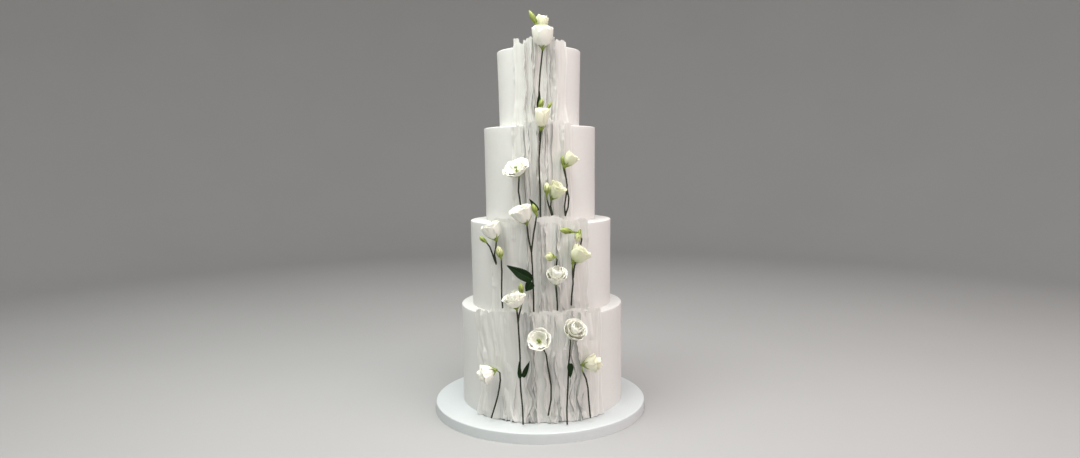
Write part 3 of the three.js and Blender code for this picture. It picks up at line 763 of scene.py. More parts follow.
def strip_points(tier, panel, clearance, strip, across, along):
    across = (across + 1) / 2
    first = strip.slopes[0] * np.abs(across - strip.peaks[0])
    second = strip.slopes[1] * np.abs(across - strip.peaks[1]) + strip.dip
    foot = strip.foot + strip.arch * np.abs(2 * across - 1) ** 3
    torn = np.sin(29 * across + 7 * strip.phase) + 0.7 * np.sin(47 * across - 9 * strip.phase)
    top = strip.top - strip.width * np.minimum(first, second) + TEAR * torn
    height = foot + along * (top - foot)
    fade = np.clip(1 - height / FLARE_HEIGHT, 0, 1) ** 1.5
    turn = 2 * np.pi * height
    sway = strip.sway * np.sin(turn / strip.sway_length + strip.phase)
    lean = strip.lean * (1 - strip.opening * fade) + sway
    wave = np.sin(turn / strip.frill_length + 2 * strip.phase)
    ripple = np.sin(turn / (0.41 * strip.frill_length) - 3 * strip.phase)
    swell = 0.6 + 0.4 * np.sin(turn / (3.1 * strip.frill_length) + 5 * strip.phase)
    curl = strip.curl + strip.frill * (1 + 1.5 * fade) * swell * (wave + 0.4 * ripple)
    curl = np.where(np.abs(curl) < 0.01, 0.01, curl)
    width = strip.width * (1 + strip.widening * panel.flare * fade)
    width = width * (1 + 0.06 * np.sin(turn / strip.sway_length - strip.phase))
    sideways = width * (np.cos(lean) - np.cos(lean + curl * across)) / curl
    outwards = width * (np.sin(lean + curl * across) - np.sin(lean)) / curl
    folds = np.sin(2 * np.pi * (sideways + strip.slant * height) / strip.fold_length + strip.phase)
    folds = folds * (0.7 + 0.3 * np.sin(turn / (1.3 * strip.sway_length) + 3 * strip.phase))
    outwards = outwards + strip.fold * (1 + fade) * (0.5 + 0.5 * folds)
    pleats = np.sin(2 * np.pi * (sideways + 0.1 * height) / strip.pleat_length + 2 * strip.phase)
    outwards = outwards + strip.pleat * np.sqrt(fade) * (0.5 + 0.5 * pleats)
    outwards = outwards + (1 - strip.widening) * panel.flare * fade * strip.push * panel.depth
    drop = 1 - height / tier.height
    shift = strip.stray * np.clip((drop - 0.55) / 0.45, 0, 1) ** 1.6 + strip.tilt * drop
    shift = shift + strip.wander * (0.5 + drop) * np.sin(turn / strip.wander_length + 4 * strip.phase)
    angle = (strip.root + shift + sideways) / tier.wall(height)
    stand_off = LOWEST_STAND_OFF + np.maximum(outwards, 0)
    for limit in (clearance.at(angle, height), panel.depth * (1 + panel.flare * fade)):
        limit = np.maximum(limit, LOWEST_STAND_OFF)
        stand_off = stand_off * limit / (stand_off**6 + limit**6) ** (1 / 6)
    return tier.point(angle, height, stand_off)


def plan_sheets(tier, panel, paper, draw):
    """The broad sheets of a panel, which lie on the wall over each other. Their free edges are the ones
    away from its middle."""
    left, right = panel.span
    ruffling = RUFFLINGS[tier.number]
    sheets = []
    place = left
    while place < right - 0.5 * paper.sheet_width:
        width = min(paper.sheet_width * draw.uniform(0.75, 1.15), right - place)
        share = (place + width / 2 - left) / (right - left)
        close = ruffling.closeness(share)
        side = 1 if share > FREE_EDGE_SHARE else -1
        sheets.append(
            Strip(
                root=place if side > 0 else place + width,
                width=width,
                lean=math.radians(draw.uniform(82, 87)) * side,
                sway=math.radians(draw.uniform(0, 2)),
                curl=math.radians(draw.uniform(5, 12)) * side,
                frill=math.radians(3) * ruffling.liveliness,
                frill_length=draw.uniform(40, 70) * MM,
                top=tier.height + panel.rise * draw.uniform(*ruffling.tops),
                stray=ruffling.stray * draw.uniform(-0.3, 0.3),
                tilt=ruffling.tilt * draw.uniform(0.5, 1.1) * max(0, 1 - 2 * share),
                fold=draw.uniform(0.8, 2) * MM * ruffling.liveliness * (1 - 0.6 * close),
                fold_length=draw.uniform(13, 24) * MM,
                slant=ruffling.slant * draw.uniform(0.4, 1.2) * (1 - share) + draw.uniform(-0.05, 0.05),
                pleat=draw.uniform(0.8, 1.8) * MM * ruffling.liveliness,
                pleat_length=draw.uniform(4.5, 7.5) * MM,
                opening=0.04,
                widening=0.1,
                push=draw.uniform(-0.1, 0.25),
                sway_length=draw.uniform(60, 120) * MM,
                phase=draw.uniform(0, 2 * math.pi),
                foot=draw.uniform(0.3, 1.5) * MM,
                arch=draw.uniform(0, 3) * MM,
                peaks=(draw.uniform(0.05, 0.45), draw.uniform(0.6, 0.95)),
                slopes=(draw.uniform(*ruffling.peaks), draw.uniform(*ruffling.peaks)),
                dip=draw.uniform(-0.1, 0.15),
            )
        )
        place += paper.sheet_pitch * draw.uniform(0.7, 1.3)
    return sheets


def plan_strips(tier, panel, paper, draw):
    """The narrow strips of a panel. Where they are close together they lean over each other in runs,
    and some stand up; elsewhere they lie on the sheets."""
    left, right = panel.span
    ruffling = RUFFLINGS[tier.number]
    close_from = left + ruffling.close[0] * (right - left)
    strips = []
    place = left
    side, run = -1, 0
    while place < right:
        share = (place - left) / (right - left)
        close = ruffling.closeness(share)
        if run == 0:
            side, run = -side, draw.randint(2, 5)
        run -= 1
        outwards = 1 if share > 0.5 else -1
        if draw.random() < 0.15 * close:
            lean = draw.uniform(-16, 16)
        elif close > 0.5:
            lean = side * draw.uniform(*ruffling.leans)
        else:
            lean = outwards * draw.uniform(76, 84)
        width = paper.strip_width * draw.uniform(0.65, 1.05) * (1 + 0.7 * (1 - close))
        root = place - (1 - close) * 0.8 * outwards * width
        waves = math.radians(ruffling.liveliness)
        strips.append(
            Strip(
                root=root,
                width=width,
                lean=math.radians(lean),
                sway=waves * draw.uniform(2, 11),
                curl=math.radians(draw.uniform(-12, 12)),
                frill=waves * draw.uniform(8, 20) * (0.5 + 0.5 * close),
                frill_length=draw.uniform(15, 36) * MM,
                top=tier.height + panel.rise * draw.uniform(*ruffling.tops) - draw.uniform(0, 4) * MM,
                stray=ruffling.stray * draw.uniform(-1, 1),
                tilt=ruffling.tilt * max(0, 1 - 2 * share),
                wander=ruffling.wander * draw.uniform(0.4, 1.2),
                wander_length=draw.uniform(45, 90) * MM,
                sway_length=draw.uniform(60, 120) * MM,
                phase=draw.uniform(0, 2 * math.pi),
                foot=draw.uniform(0.3, 1.2) * MM,
                arch=draw.uniform(0, 2) * MM,
                peaks=(draw.uniform(0, 0.4), draw.uniform(0.6, 1)),
                slopes=(draw.uniform(0.3, 1), draw.uniform(0.3, 1)),
                dip=draw.uniform(-0.1, 0.2),
            )
        )
        pitch = paper.sparse_pitch + (paper.strip_pitch - paper.sparse_pitch) * close
        ahead = place + pitch * draw.uniform(0.6, 1.4)
        place = min(ahead, close_from) if place < close_from else ahead
    return strips


def plan_short_strips(tier, panel, paper, draw):
    """The short strips that stand between the others at the foot of a panel."""
    left, right = panel.span
    ruffling = RUFFLINGS[tier.number]
    waves = math.radians(ruffling.liveliness)
    strips = []
    for number in range(ruffling.short_strips):
        share = 0.2 + 0.7 * (number + draw.uniform(0.1, 0.9)) / ruffling.short_strips
        strips.append(
            Strip(
                root=left + (right - left) * share,
                width=paper.strip_width * draw.uniform(0.7, 1),
                lean=math.radians(draw.choice((-1, 1)) * draw.uniform(10, 58)),
                sway=waves * draw.uniform(2, 11),
                curl=math.radians(draw.uniform(-12, 12)),
                frill=waves * draw.uniform(8, 18),
                frill_length=draw.uniform(15, 30) * MM,
                top=tier.height * draw.uniform(0.2, 0.5),
                stray=0.8 * ruffling.stray * draw.uniform(-1, 1),
                sway_length=draw.uniform(40, 80) * MM,
                phase=draw.uniform(0, 2 * math.pi),
                foot=draw.uniform(0.3, 1.2) * MM,
                arch=draw.uniform(0, 2) * MM,
                peaks=(draw.uniform(0, 0.3), draw.uniform(0.5, 0.8)),
                slopes=(draw.uniform(0.5, 1.5), draw.uniform(0.5, 1.5)),
            )
        )
    return strips


class CAKE_OT_ruffle_panels(bpy.types.Operator):
    """Covers the front of every tier with a panel of ruffled wafer paper"""

    bl_idname = "cake.ruffle_panels"
    bl_label = "Ruffle the Panels"
    bl_options = {"REGISTER", "UNDO"}

    def execute(self, context):
        settings = context.scene.cake_paper
        finish = paper_finish(settings.paper)
        plants = plants_tree()
        broad, narrow = flat_sheet(*SHEET_GRID), flat_sheet(*STRIP_GRID)
        for number in TIERS:
            tier = Tier(number)
            panel = Panel(tier)
            clearance = Clearance(tier, panel, plants, settings.clearance)
            draw = random.Random(number)
            plans = [(broad, sheet) for sheet in plan_sheets(tier, panel, settings, draw)]
            plans += [(narrow, strip) for strip in plan_strips(tier, panel, settings, draw)]
            plans += [(narrow, strip) for strip in plan_short_strips(tier, panel, settings, draw)]
            pieces = [
                shaped_copy(flat, lambda u, v: strip_points(tier, panel, clearance, strip, u, v))
                for flat, strip in plans
            ]
            ruffle = joined(pieces)
            add_modifier(ruffle, "SOLIDIFY", thickness=settings.thickness, offset=0)
            bpy.ops.object.shade_smooth_by_angle(angle=PAPER_SMOOTH_ANGLE)
            paint(ruffle, finish)
            dress(ruffle, f"paper_tier_{number}", "paper", f"ruffle_tier_{number}")
        discard(broad)
        discard(narrow)
        return {"FINISHED"}


# ---------------------------------------------------------------------------------------------
# Blooms and buds
# ---------------------------------------------------------------------------------------------

PETAL_GRID = (20, 14)  # faces across and along a petal
# The solid's outer rim falls from CLOSED_RIM by RIM_FALL and its tip by TIP_FALL, in shares of its
# height, as it opens. No corner lies at the middle of an outer petal, so that the highest ones are at
# HIGHEST_CORNER of its rim's height.
CLOSED_RIM = 0.92
RIM_FALL = 0.26
TIP_FALL = 0.06
HIGHEST_CORNER = 0.978
ROSE_OPENNESS = 0.6  # from here on the outer petals are spread under a closed inner cup
WIDE_OPENNESS = 0.78  # and from here on a bloom is a low bowl in which the stigma shows
CLAW = 0.55  # width of a petal's foot, in shares of its full width
CREAM_BLOOMS = ("bloom_b", "bloom_m")
YOUNG_BLOOMS = ("bloom_a_rear", "bloom_d", "bloom_e", "bloom_h")
STAMENS = 5
STALK_STEPS = 4


@dataclass
class Petal:
    """A petal round a flower's axis. Its curve is the line up its middle, as four pairs of a radius and
    a height; its edges stand further out on the right than on the left by twice its lap."""

    turn: float
    spread: float  # half of the angle that it takes up
    curve: tuple
    lap: float
    cup: float
    frill: float
    waves: float
    phase: float
    rounding: float


def on_curve(curve, share):
    """The radii and heights along a smooth curve of four points, and the way that it runs."""
    first, second, third, fourth = np.array(curve)
    s, r = share[:, None], 1 - share[:, None]
    point = r**3 * first + 3 * r**2 * s * second + 3 * r * s**2 * third + s**3 * fourth
    way = 3 * (r**2 * (second - first) + 2 * r * s * (third - second) + s**2 * (fourth - third))
    return point.T, (way / np.linalg.norm(way, axis=1)[:, None]).T


def petal_points(seat, petal, across, along):
    share = along * (1 - petal.rounding * np.abs(across) ** 2.2)
    (radius, height), (outwards, upwards) = on_curve(petal.curve, share)
    run = petal.waves * across
    wave = np.sin(run + petal.phase) + 0.5 * np.sin(2.3 * run - petal.phase)
    rim = share**2.5 * (0.5 + 0.5 * np.abs(across))
    lift = petal.frill * rim * wave - petal.cup * across**2 * share
    radius = radius + lift * upwards + petal.lap * across * share
    height = height - lift * outwards
    width = CLAW + (1 - CLAW) * smooth_step(share / 0.5)
    angle = petal.turn + petal.spread * across * width
    return seat.to_frame(radius * np.cos(angle), radius * np.sin(angle), height)


def by_openness(openness):
    """A function that gives the value between one for a closed and one for an open bloom."""
    return lambda closed, opened: closed + (opened - closed) * openness


def plan_whorls(openness):
    """The whorls of a bloom from the outermost to the innermost: their reach and rise in shares of the
    bloom's size, how wide they are below their rims in shares of their reach, and how many petals
    they have."""
    between = by_openness(openness)
    flare = smooth_step((openness - 0.35) / 0.25)
    if openness > WIDE_OPENNESS:
        return [(1.05, 0.6192, 0.7, 5), (0.82, 0.6264, 0.69, 5)]
    if openness > ROSE_OPENNESS:
        return [(1.04, 0.68, 0.8, 5), (0.86, 0.76, 0.82, 5), (0.44, 1.02, 1.65, 4), (0.28, 0.99, 1.65, 3)]
    return [
        (between(1, 1.07), between(0.94, 0.84), 1.06 - 0.36 * flare, 5),
        (between(0.87, 0.78), between(1, 0.84), 1.06 - 0.37 * flare, 5),
        (between(0.7, 0.5), between(1, 0.8), 1.06 - 0.2 * flare, 3),
    ]


def plan_bloom(seat, openness, frill, pointed, draw):
    """The petals of a bloom, whorl by whorl from the outermost to the heart. Pointed is how much lower
    than its tip a petal's corners are, in shares of its length, besides what all have."""
    between = by_openness(openness)
    height = seat.height / between(1, 0.94)
    petals = []
    start = draw.uniform(0, 2 * math.pi)
    for number, (reach, rise, belly, count) in enumerate(plan_whorls(openness)):
        inwards = number / 3
        floor = (0.02 + between(0.05, 0.9) * 0.6 * inwards) * height
        waviness = frill * between(0.5, 0.9) * (1 - 0.5 * inwards)
        for index in range(count):
            tip = seat.radius * reach * draw.uniform(0.9, 1.06)
            top = height * rise * draw.uniform(0.88, 1.03)
            curve = (
                (0.07 * seat.radius, floor),
                (between(1.08, 0.66 - 0.2 * inwards) * tip, floor),
                (belly * tip, between(0.6, 0.93) * top + between(0.4, 0) * floor),
                (tip, top),
            )
            petals.append(
                Petal(
                    turn=start + 2 * math.pi * (index + 0.5 * number) / count + draw.uniform(-0.2, 0.2),
                    spread=between(2.3, 1.4) * math.pi / count * draw.uniform(0.85, 1.06),
                    curve=curve,
                    lap=between(0.01, 0.06) * seat.radius * draw.uniform(0.7, 1.3),
                    cup=seat.radius * (between(0, 0.01) + 0.06 * inwards) * draw.uniform(0.3, 1.7),
                    frill=waviness * seat.radius * draw.uniform(0.6, 1.4),
                    waves=draw.uniform(4, 8),
                    phase=draw.uniform(0, 2 * math.pi),
                    rounding=draw.uniform(0.1, 0.26) + pointed,
                )
            )
    return petals


def blob(seat, centre, size):
    """A small egg at a place in a seat's own axes, as wide and high as size gives."""
    bpy.ops.object.select_all(action="DESELECT")
    bpy.ops.mesh.primitive_uv_sphere_add(segments=12, ring_count=8, radius=1)
    egg = bpy.context.active_object
    points = np.array([vertex.co for vertex in egg.data.vertices]) * np.array(size) + np.array(centre)
    egg.data.vertices.foreach_set("co", seat.to_frame(*points.T).ravel())
    return egg


def pistil(seat):
    """The ovary of an open bloom with the two lobes of its stigma."""
    ovary = blob(seat, (0, 0, 0.28 * seat.height), (2.2 * MM, 2.2 * MM, 0.17 * seat.height))
    style = blob(seat, (0, 0, 0.5 * seat.height), (0.7 * MM, 0.7 * MM, 0.12 * seat.height))
    lobe = (1.5 * MM, 2.1 * MM, 1.4 * MM)
    lobes = [blob(seat, (side * 1.2 * MM, 0, 0.6 * seat.height), lobe) for side in (-1, 1)]
    return joined([ovary, style, *lobes])


def stamens(seat, draw):
    """The stamens of an open bloom: thin stalks that lean outwards, with an anther each."""
    parts = []
    for index in range(STAMENS):
        turn = 2 * math.pi * (index + draw.uniform(-0.2, 0.2)) / STAMENS
        way = np.array([math.cos(turn), math.sin(turn)])
        for step in range(STALK_STEPS):
            place = way * (2.2 + 0.5 * step) * MM
            rise = (0.26 + 0.05 * step) * seat.height
            parts.append(blob(seat, (*place, rise), (0.25 * MM, 0.25 * MM, 0.04 * seat.height)))
        place = way * 4 * MM
        parts.append(blob(seat, (*place, 0.46 * seat.height), (0.45 * MM, 0.45 * MM, 0.9 * MM)))
    return joined(parts)


def openness_of(seat):
    """How far open a bloom is, from 0 to 1, by how low the rim of its outer petals lies."""
    share = seat.rim_share / HIGHEST_CORNER
    return (CLOSED_RIM - share) / (RIM_FALL - TIP_FALL * share)


def thickened(sheets, thickness):
    """Thin sheets as one smooth piece of the given thickness."""
    piece = joined(sheets)
    add_modifier(piece, "SOLIDIFY", thickness=thickness, offset=0)
    bpy.ops.object.shade_smooth()
    return piece


class CAKE_OT_open_blooms(bpy.types.Operator):
    """Opens the lisianthus blooms"""

    bl_idname = "cake.open_blooms"
    bl_label = "Open the Blooms"
    bl_options = {"REGISTER", "UNDO"}

    def execute(self, context):
        settings = context.scene.cake_flowers
        white = petal_finish("white_petals", settings.white, settings.green, 0.14)
        cream = petal_finish("cream_petals", settings.cream, settings.green, 0.3)
        young = petal_finish("young_petals", settings.young, settings.green, 0.85)
        stigma = petal_finish("stigma", settings.stigma, settings.bud, 0.5)
        pollen = petal_finish("pollen", settings.pollen, settings.bud, 0.2)
        finishes = dict.fromkeys(BLOOMS, white)
        finishes.update(dict.fromkeys(CREAM_BLOOMS, cream))
        finishes.update(dict.fromkeys(YOUNG_BLOOMS, young))
        sheet = flat_sheet(*PETAL_GRID)
        for node in BLOOMS:
            seat = Seat(node)
            draw = random.Random(node)
            openness = openness_of(seat)
            pointed = 0.2 if node in YOUNG_BLOOMS else 0
            petals = [
                shaped_copy(sheet, lambda u, v: petal_points(seat, petal, u, v))
                for petal in plan_bloom(seat, openness, settings.frill, pointed, draw)
            ]
            bloom = thickened(petals, settings.petal)
            paint(bloom, finishes[node])
            if openness > WIDE_OPENNESS:
                heart = [pistil(seat), stamens(seat, draw)]
                for part, finish in zip(heart, (stigma, pollen)):
                    select_only(part)
                    bpy.ops.object.shade_smooth()
                    paint(part, finish)
                bloom = joined([bloom, *heart])
            dress(bloom, node.replace("bloom_", "petals_"), "petal", node)
        discard(sheet)
        return {"FINISHED"}


BUD_PETALS = 4
BUD_GRID = (8, 16)  # faces across and along one of them
PALE_BUD_RADIUS = 4.3 * MM  # a bud as wide as this has begun to lose its green


def bud_points(seat, turn, across, along):
    """One of the furled petals of a bud, which wind round each other up to its point."""
    share = along * (1 - 0.12 * np.abs(across) ** 3)
    radius = seat.radius * np.sin(np.pi * np.clip(share, 0.001, 0.999) ** 0.8) ** 0.8
    radius = radius * (1 + 0.13 * across)
    angle = turn + 1.15 * across * (0.7 + 0.3 * share) + 1.9 * share
    return seat.to_frame(radius * np.cos(angle), radius * np.sin(angle), seat.height * share)


class CAKE_OT_furl_buds(bpy.types.Operator):
    """Furls the petals of the buds"""

    bl_idname = "cake.furl_buds"
    bl_label = "Furl the Buds"
    bl_options = {"REGISTER", "UNDO"}

    def execute(self, context):
        settings = context.scene.cake_flowers
        green = petal_finish("green_bud", settings.bud, shade(settings.bud, 0.4), 0.7)
        pale = petal_finish("pale_bud", settings.pale_bud, settings.bud, 0.8)
        sheet = flat_sheet(*BUD_GRID)
        for node in BUDS:
            seat = Seat(node)
            turns = [2 * math.pi * index / BUD_PETALS for index in range(BUD_PETALS)]
            petals = [shaped_copy(sheet, lambda u, v: bud_points(seat, turn, u, v)) for turn in turns]
            bud = thickened(petals, settings.petal)
            paint(bud, pale if seat.radius > PALE_BUD_RADIUS else green)
            dress(bud, node.replace("bud_", "furled_"), "bud", node)
        discard(sheet)
        return {"FINISHED"}


# ---------------------------------------------------------------------------------------------
# Stems and leaves
# ---------------------------------------------------------------------------------------------

SEPALS = 5
SEPAL_GRID = (4, 12)  # faces across and along a sepal
LEAF_GRID = (16, 32)  # and a leaf
CLOSED_OPENNESS = 0.4  # under a bloom less open than this the sepals are short
SEPAL_WIDTH = 2.5 * MM
CALYX_REACH = 2.5 * MM
SEPAL_THICKNESS = 0.5 * MM
YOUNG_REACH = 5 * MM  # how far below its calyx a stem is old
SMOOTHING = 10


def sepal_points(seat, turn, is_bud, across, along):
    """A narrow sepal that rises out of the calyx and lies against the outermost petals. Under a closed
    bloom it's short."""
    radius, height = seat.radius, seat.height
    if is_bud:
        curve = [(1.4 * MM, -2 * MM), (0.9 * radius, 0), (1.25 * radius, 0.35 * height)]
        curve.append((0.9 * radius, 0.75 * height))
    elif openness_of(seat) < CLOSED_OPENNESS:
        curve = [(2 * MM, -3.5 * MM), (3.4 * MM, -0.5 * MM), (0.4 * radius, 0.01 * height)]
        curve.append((0.55 * radius, 0.1 * height))
    else:
        curve = [(2 * MM, -3.5 * MM), (4.2 * MM, 0), (0.4 * radius + 2 * MM, 0.08 * height)]
        curve.append((0.64 * radius + 1.5 * MM, 0.26 * height))
    (reach, rise), (outwards, upwards) = on_curve(curve, along)
    half = SEPAL_WIDTH / 2 * (1 - along**2.2) * (0.75 if is_bud else 1)
    fold = 0.35 * half * np.abs(across)
    reach, rise = reach - fold * upwards, rise + fold * outwards
    x, y = reach, half * across
    return seat.to_frame(x * np.cos(turn) - y * np.sin(turn), x * np.sin(turn) + y * np.cos(turn), rise)


def merged_copy(node):
    """A node's shape as an object of its own, with its triangles joined up."""
    obj = bpy.data.objects.new(node + "_core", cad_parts[node].data.copy())
    bpy.context.collection.objects.link(obj)
    select_only(obj)
    bpy.ops.object.mode_set(mode="EDIT")
    bpy.ops.mesh.select_all(action="SELECT")
    bpy.ops.mesh.remove_doubles(threshold=0.001 * MM)
    bpy.ops.object.mode_set(mode="OBJECT")
    return obj


def grown_stem(node, settings):
    """A stem with round, slightly lumpy strands instead of straight-sided ones."""
    stem = merged_copy(node)
    add_modifier(stem, "REMESH", mode="VOXEL", voxel_size=settings.voxel)
    add_modifier(stem, "SMOOTH", factor=0.5, iterations=SMOOTHING)
    add_modifier(stem, "DISPLACE", strength=settings.bark, mid_level=0)
    lumps = uneven("stem_lumps", 5 * MM)
    add_modifier(stem, "DISPLACE", texture=lumps, strength=1.2 * settings.bark, mid_level=0.5)
    return stem


def mark_young(obj, seats):
    """Writes how young a stem's points are: 1 at a flower's foot and 0 well below it."""
    points = np.array([vertex.co for vertex in obj.data.vertices])
    near = np.min([seat.distance(points) for _, seat in seats], axis=0)
    young = obj.data.attributes.new("young", "FLOAT", "POINT")
    young.data.foreach_set("value", 1 - smooth_step((near - CALYX_REACH) / YOUNG_REACH))


class CAKE_OT_grow_stems(bpy.types.Operator):
    """Grows the stems with the calyxes and sepals at their tops"""

    bl_idname = "cake.grow_stems"
    bl_label = "Grow the Stems"
    bl_options = {"REGISTER", "UNDO"}

    def execute(self, context):
        settings = context.scene.cake_greenery
        finish = stem_finish(settings.stem, settings.young)
        sheet = flat_sheet(*SEPAL_GRID)
        for node in STEMS:
            seats = seats_of(node)
            draw = random.Random(node)
            sepals = []
            for held, seat in seats:
                is_bud = held in BUDS
                start = draw.uniform(0, 2 * math.pi)
                for index in range(SEPALS):
                    turn = start + 2 * math.pi * index / SEPALS + draw.uniform(-0.2, 0.2)
                    sepals.append(shaped_copy(sheet, lambda u, v: sepal_points(seat, turn, is_bud, u, v)))
            calyx = thickened(sepals, SEPAL_THICKNESS)
            stem = joined([grown_stem(node, settings), calyx])
            mark_young(stem, seats)
            bpy.ops.object.shade_smooth()
            paint(stem, finish)
            dress(stem, node.replace("stem_", "stalk_"), "stem", node)
        discard(sheet)
        return {"FINISHED"}


class LeafSeat:
    """Where a leaf grows: its foot, the way to its tip, across it and out of its upper side."""

    def __init__(self, node):
        points = corners(node)
        centre = points.mean(axis=0)
        _, directions = np.linalg.eigh(np.cov((points - centre).T))
        along = directions[:, 2]
        stem = corners("stem_" + node.split("_")[1])
        run = (points - centre) @ along
        ends = [centre + along * run.min(), centre + along * run.max()]
        near = [np.linalg.norm(stem - end, axis=1).min() for end in ends]
        if near[1] < near[0]:
            along, run = -along, -run
        tier = Tier(1)
        outwards = centre - np.array([tier.centre.x, tier.centre.y, centre[2]])
        across = np.cross(along, outwards)
        across /= np.linalg.norm(across)
        facing = np.cross(across, along)
        sideways = (points - centre) @ across
        depth = (points - centre) @ facing
        self.length = run.max() - run.min()
        self.width = sideways.max() - sideways.min()
        self.axes = np.array([across, along, facing])
        middle = (sideways.max() + sideways.min()) / 2
        self.foot = centre + along * run.min() + across * middle + facing * depth.min()


def leaf_points(seat, phase, across, along):
    """A pointed leaf, folded along its midrib, with wavy edges and a tip that bends back."""
    half = seat.width / 2 * np.sin(np.pi * (0.04 + 0.96 * along) ** 0.6) ** 0.85
    fold = 0.26 * half * np.abs(across) ** 1.3
    groove = 0.03 * seat.width * np.exp(-((across / 0.12) ** 2))
    wave = 0.05 * seat.width * across**2 * np.sin(2 * np.pi * 1.6 * along + phase + 2 * across)
    bend = -0.05 * seat.length * along**3
    lift = fold - groove + wave + bend
    return np.stack([half * across, seat.length * along, lift], axis=-1) @ seat.axes + seat.foot


class CAKE_OT_lay_leaves(bpy.types.Operator):
    """Lays the leaves along the stems"""

    bl_idname = "cake.lay_leaves"
    bl_label = "Lay the Leaves"
    bl_options = {"REGISTER", "UNDO"}

    def execute(self, context):
        settings = context.scene.cake_greenery
        finish = leaf_finish(settings.blade)
        sheet = flat_sheet(*LEAF_GRID)
        for node in LEAVES:
            seat = LeafSeat(node)
            phase = random.Random(node).uniform(0, 2 * math.pi)
            blade = shaped_copy(sheet, lambda u, v: leaf_points(seat, phase, u, v))
            leaf = thickened([blade], settings.leaf)
            paint(leaf, finish)
            dress(leaf, node.replace("leaf_", "blade_"), "leaf", node)
        discard(sheet)
        return {"FINISHED"}


# ---------------------------------------------------------------------------------------------
# Stage
# ---------------------------------------------------------------------------------------------

FLOOR_RADIUS = 1.9
SWEEP_RADIUS = 0.9
SWEEP_SIDES = 96
SWEEP_STEPS = 12
WALL_HEIGHT = 2.4
SENSOR_WIDTH = 36  # in mm
AMBIENT = (0.89, 0.9, 0.87, 1)  # colour of the light from all around
AMBIENT_STRENGTH = 0.24

# Each light: its name, where it stands, where it points, its width and height, its power and its tint.
LIGHTS = (
    ("overhead", (-0.1, -0.35, 1.9), (0, 0, 0.3), (1.5, 1.2), 40, (1, 1, 0.98)),
    ("right", (1.5, -1, 1.1), (0, 0, 0.25), (1.2, 1.4), 14.2, (1, 0.76, 0.74)),
    ("upper_left", (-0.45, -0.44, 1), (0, 0, 0.5), (0.6, 0.6), 3.7, (0.97, 1, 0.9)),
    ("front", (0.75, -1.9, 1.1), (0, 0, 0.2), (1.8, 1.2), 9, (1, 1, 0.98)),
)


def add_sweep(tint):
    """A round floor that curves up into a wall."""
    bpy.ops.object.select_all(action="DESELECT")
    bpy.ops.mesh.primitive_circle_add(vertices=SWEEP_SIDES, radius=FLOOR_RADIUS, fill_type="NGON")
    sweep = bpy.context.active_object
    bpy.ops.object.mode_set(mode="EDIT")
    select_parts(sweep, "EDGE", lambda edge: True)
    radius, height = FLOOR_RADIUS, 0
    turns = [math.pi / 2 * step / SWEEP_STEPS for step in range(1, SWEEP_STEPS + 1)]
    rings = [
        (FLOOR_RADIUS + SWEEP_RADIUS * math.sin(turn), SWEEP_RADIUS * (1 - math.cos(turn)))
        for turn in turns
    ]
    rings.append((FLOOR_RADIUS + SWEEP_RADIUS, WALL_HEIGHT))
    for new_radius, new_height in rings:
        bpy.ops.mesh.extrude_edges_move(TRANSFORM_OT_translate={"value": (0, 0, new_height - height)})
        share = new_radius / radius
        bpy.ops.transform.resize(value=(share, share, 1), center_override=(0, 0, new_height))
        radius, height = new_radius, new_height
    bpy.ops.object.mode_set(mode="OBJECT")
    bpy.ops.object.shade_smooth_by_angle(angle=SMOOTH_ANGLE)
    finish = Finish("pale_floor", Roughness=0.75)
    clouds = finish.noise(finish.coordinates("Object"), 2.5, 4)
    finish.link("Base Color", finish.mix(finish.remap(clouds, 0.3, 0.7), shade(tint, 0.97), tint))
    paint(sweep, finish.material)
    sweep.name = "pale_sweep"


def add_light(name, place, target, size, power, tint):
    light = bpy.data.lights.new(name, "AREA")
    light.shape = "RECTANGLE"
    light.size, light.size_y = size
    light.energy = power
    light.color = tint
    obj = bpy.data.objects.new(name, light)
    bpy.context.collection.objects.link(obj)
    way = Vector(target) - Vector(place)
    obj.matrix_world = Matrix.Translation(place) @ way.to_track_quat("-Z", "Y").to_matrix().to_4x4()


def add_camera(stage):
    camera = bpy.data.cameras.new("camera")
    camera.lens = stage.lens
    camera.sensor_width = SENSOR_WIDTH
    obj = bpy.data.objects.new("camera", camera)
    bpy.context.collection.objects.link(obj)
    pitched = Matrix.Rotation(math.pi / 2 - stage.pitch, 4, "X")
    obj.matrix_world = Matrix.Translation(stage.eye) @ pitched @ Matrix.Rotation(-stage.roll, 4, "Z")
    bpy.context.scene.camera = obj


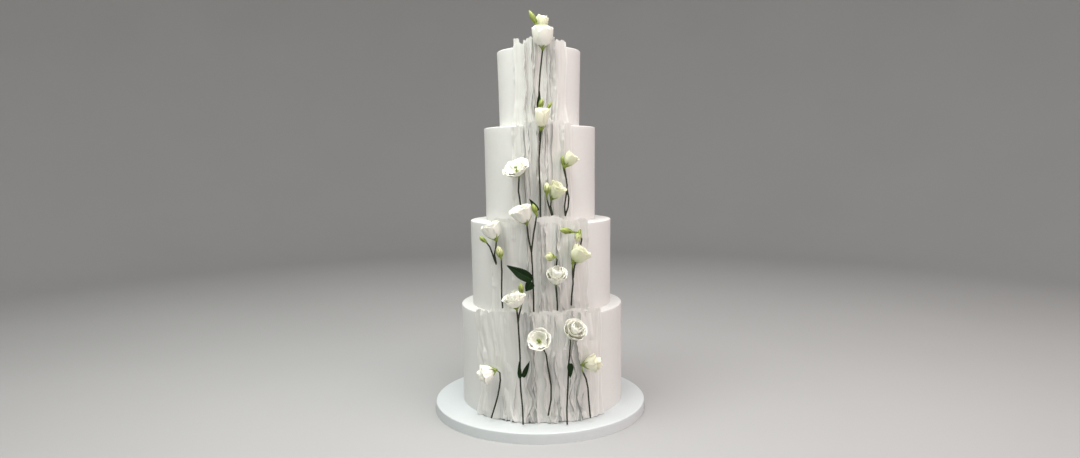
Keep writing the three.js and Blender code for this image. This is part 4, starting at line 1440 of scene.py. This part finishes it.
class CAKE_OT_set_stage(bpy.types.Operator):
    """Sets up the floor, the lights and the camera"""

    bl_idname = "cake.set_stage"
    bl_label = "Set the Stage"
    bl_options = {"REGISTER", "UNDO"}

    def execute(self, context):
        stage = context.scene.cake_stage
        add_sweep(stage.floor)
        for light in LIGHTS:
            add_light(*light)
        add_camera(stage)
        world = bpy.data.worlds.new("studio")
        world.use_nodes = True
        background = world.node_tree.nodes["Background"]
        background.inputs["Color"].default_value = AMBIENT
        background.inputs["Strength"].default_value = AMBIENT_STRENGTH
        context.scene.world = world
        context.scene.view_settings.view_transform = "Standard"
        return {"FINISHED"}


# ---------------------------------------------------------------------------------------------
# Panel and registration
# ---------------------------------------------------------------------------------------------

OPERATORS = (
    CAKE_OT_ice_board,
    CAKE_OT_ice_tiers,
    CAKE_OT_ruffle_panels,
    CAKE_OT_open_blooms,
    CAKE_OT_furl_buds,
    CAKE_OT_grow_stems,
    CAKE_OT_lay_leaves,
    CAKE_OT_set_stage,
)

SETTINGS = {
    "cake_icing": IcingSettings,
    "cake_paper": PaperSettings,
    "cake_flowers": FlowerSettings,
    "cake_greenery": GreenerySettings,
    "cake_stage": StageSettings,
}


class CAKE_PT_build(bpy.types.Panel):
    """Lists the steps of the cake and their settings."""

    bl_idname = "CAKE_PT_build"
    bl_label = "Tiered Wedding Cake"
    bl_space_type = "VIEW_3D"
    bl_region_type = "UI"
    bl_category = "Cake"

    def draw(self, context):
        for operator in OPERATORS:
            self.layout.operator(operator.bl_idname)
        for name, kind in SETTINGS.items():
            box = self.layout.box()
            box.label(text=kind.__doc__)
            for setting in kind.__annotations__:
                box.prop(getattr(context.scene, name), setting)


def register():
    for kind in (*SETTINGS.values(), *OPERATORS, CAKE_PT_build):
        bpy.utils.register_class(kind)
    for name, kind in SETTINGS.items():
        setattr(bpy.types.Scene, name, PointerProperty(type=kind))


def unregister():
    for name in SETTINGS:
        delattr(bpy.types.Scene, name)
    for kind in (CAKE_PT_build, *reversed(OPERATORS), *reversed(SETTINGS.values())):
        bpy.utils.unregister_class(kind)


def main():
    register()
    bpy.ops.cake.ice_board()
    bpy.ops.cake.ice_tiers()
    bpy.ops.cake.ruffle_panels()
    bpy.ops.cake.open_blooms()
    bpy.ops.cake.furl_buds()
    bpy.ops.cake.grow_stems()
    bpy.ops.cake.lay_leaves()
    bpy.ops.cake.set_stage()


if __name__ == "__main__":
    main()
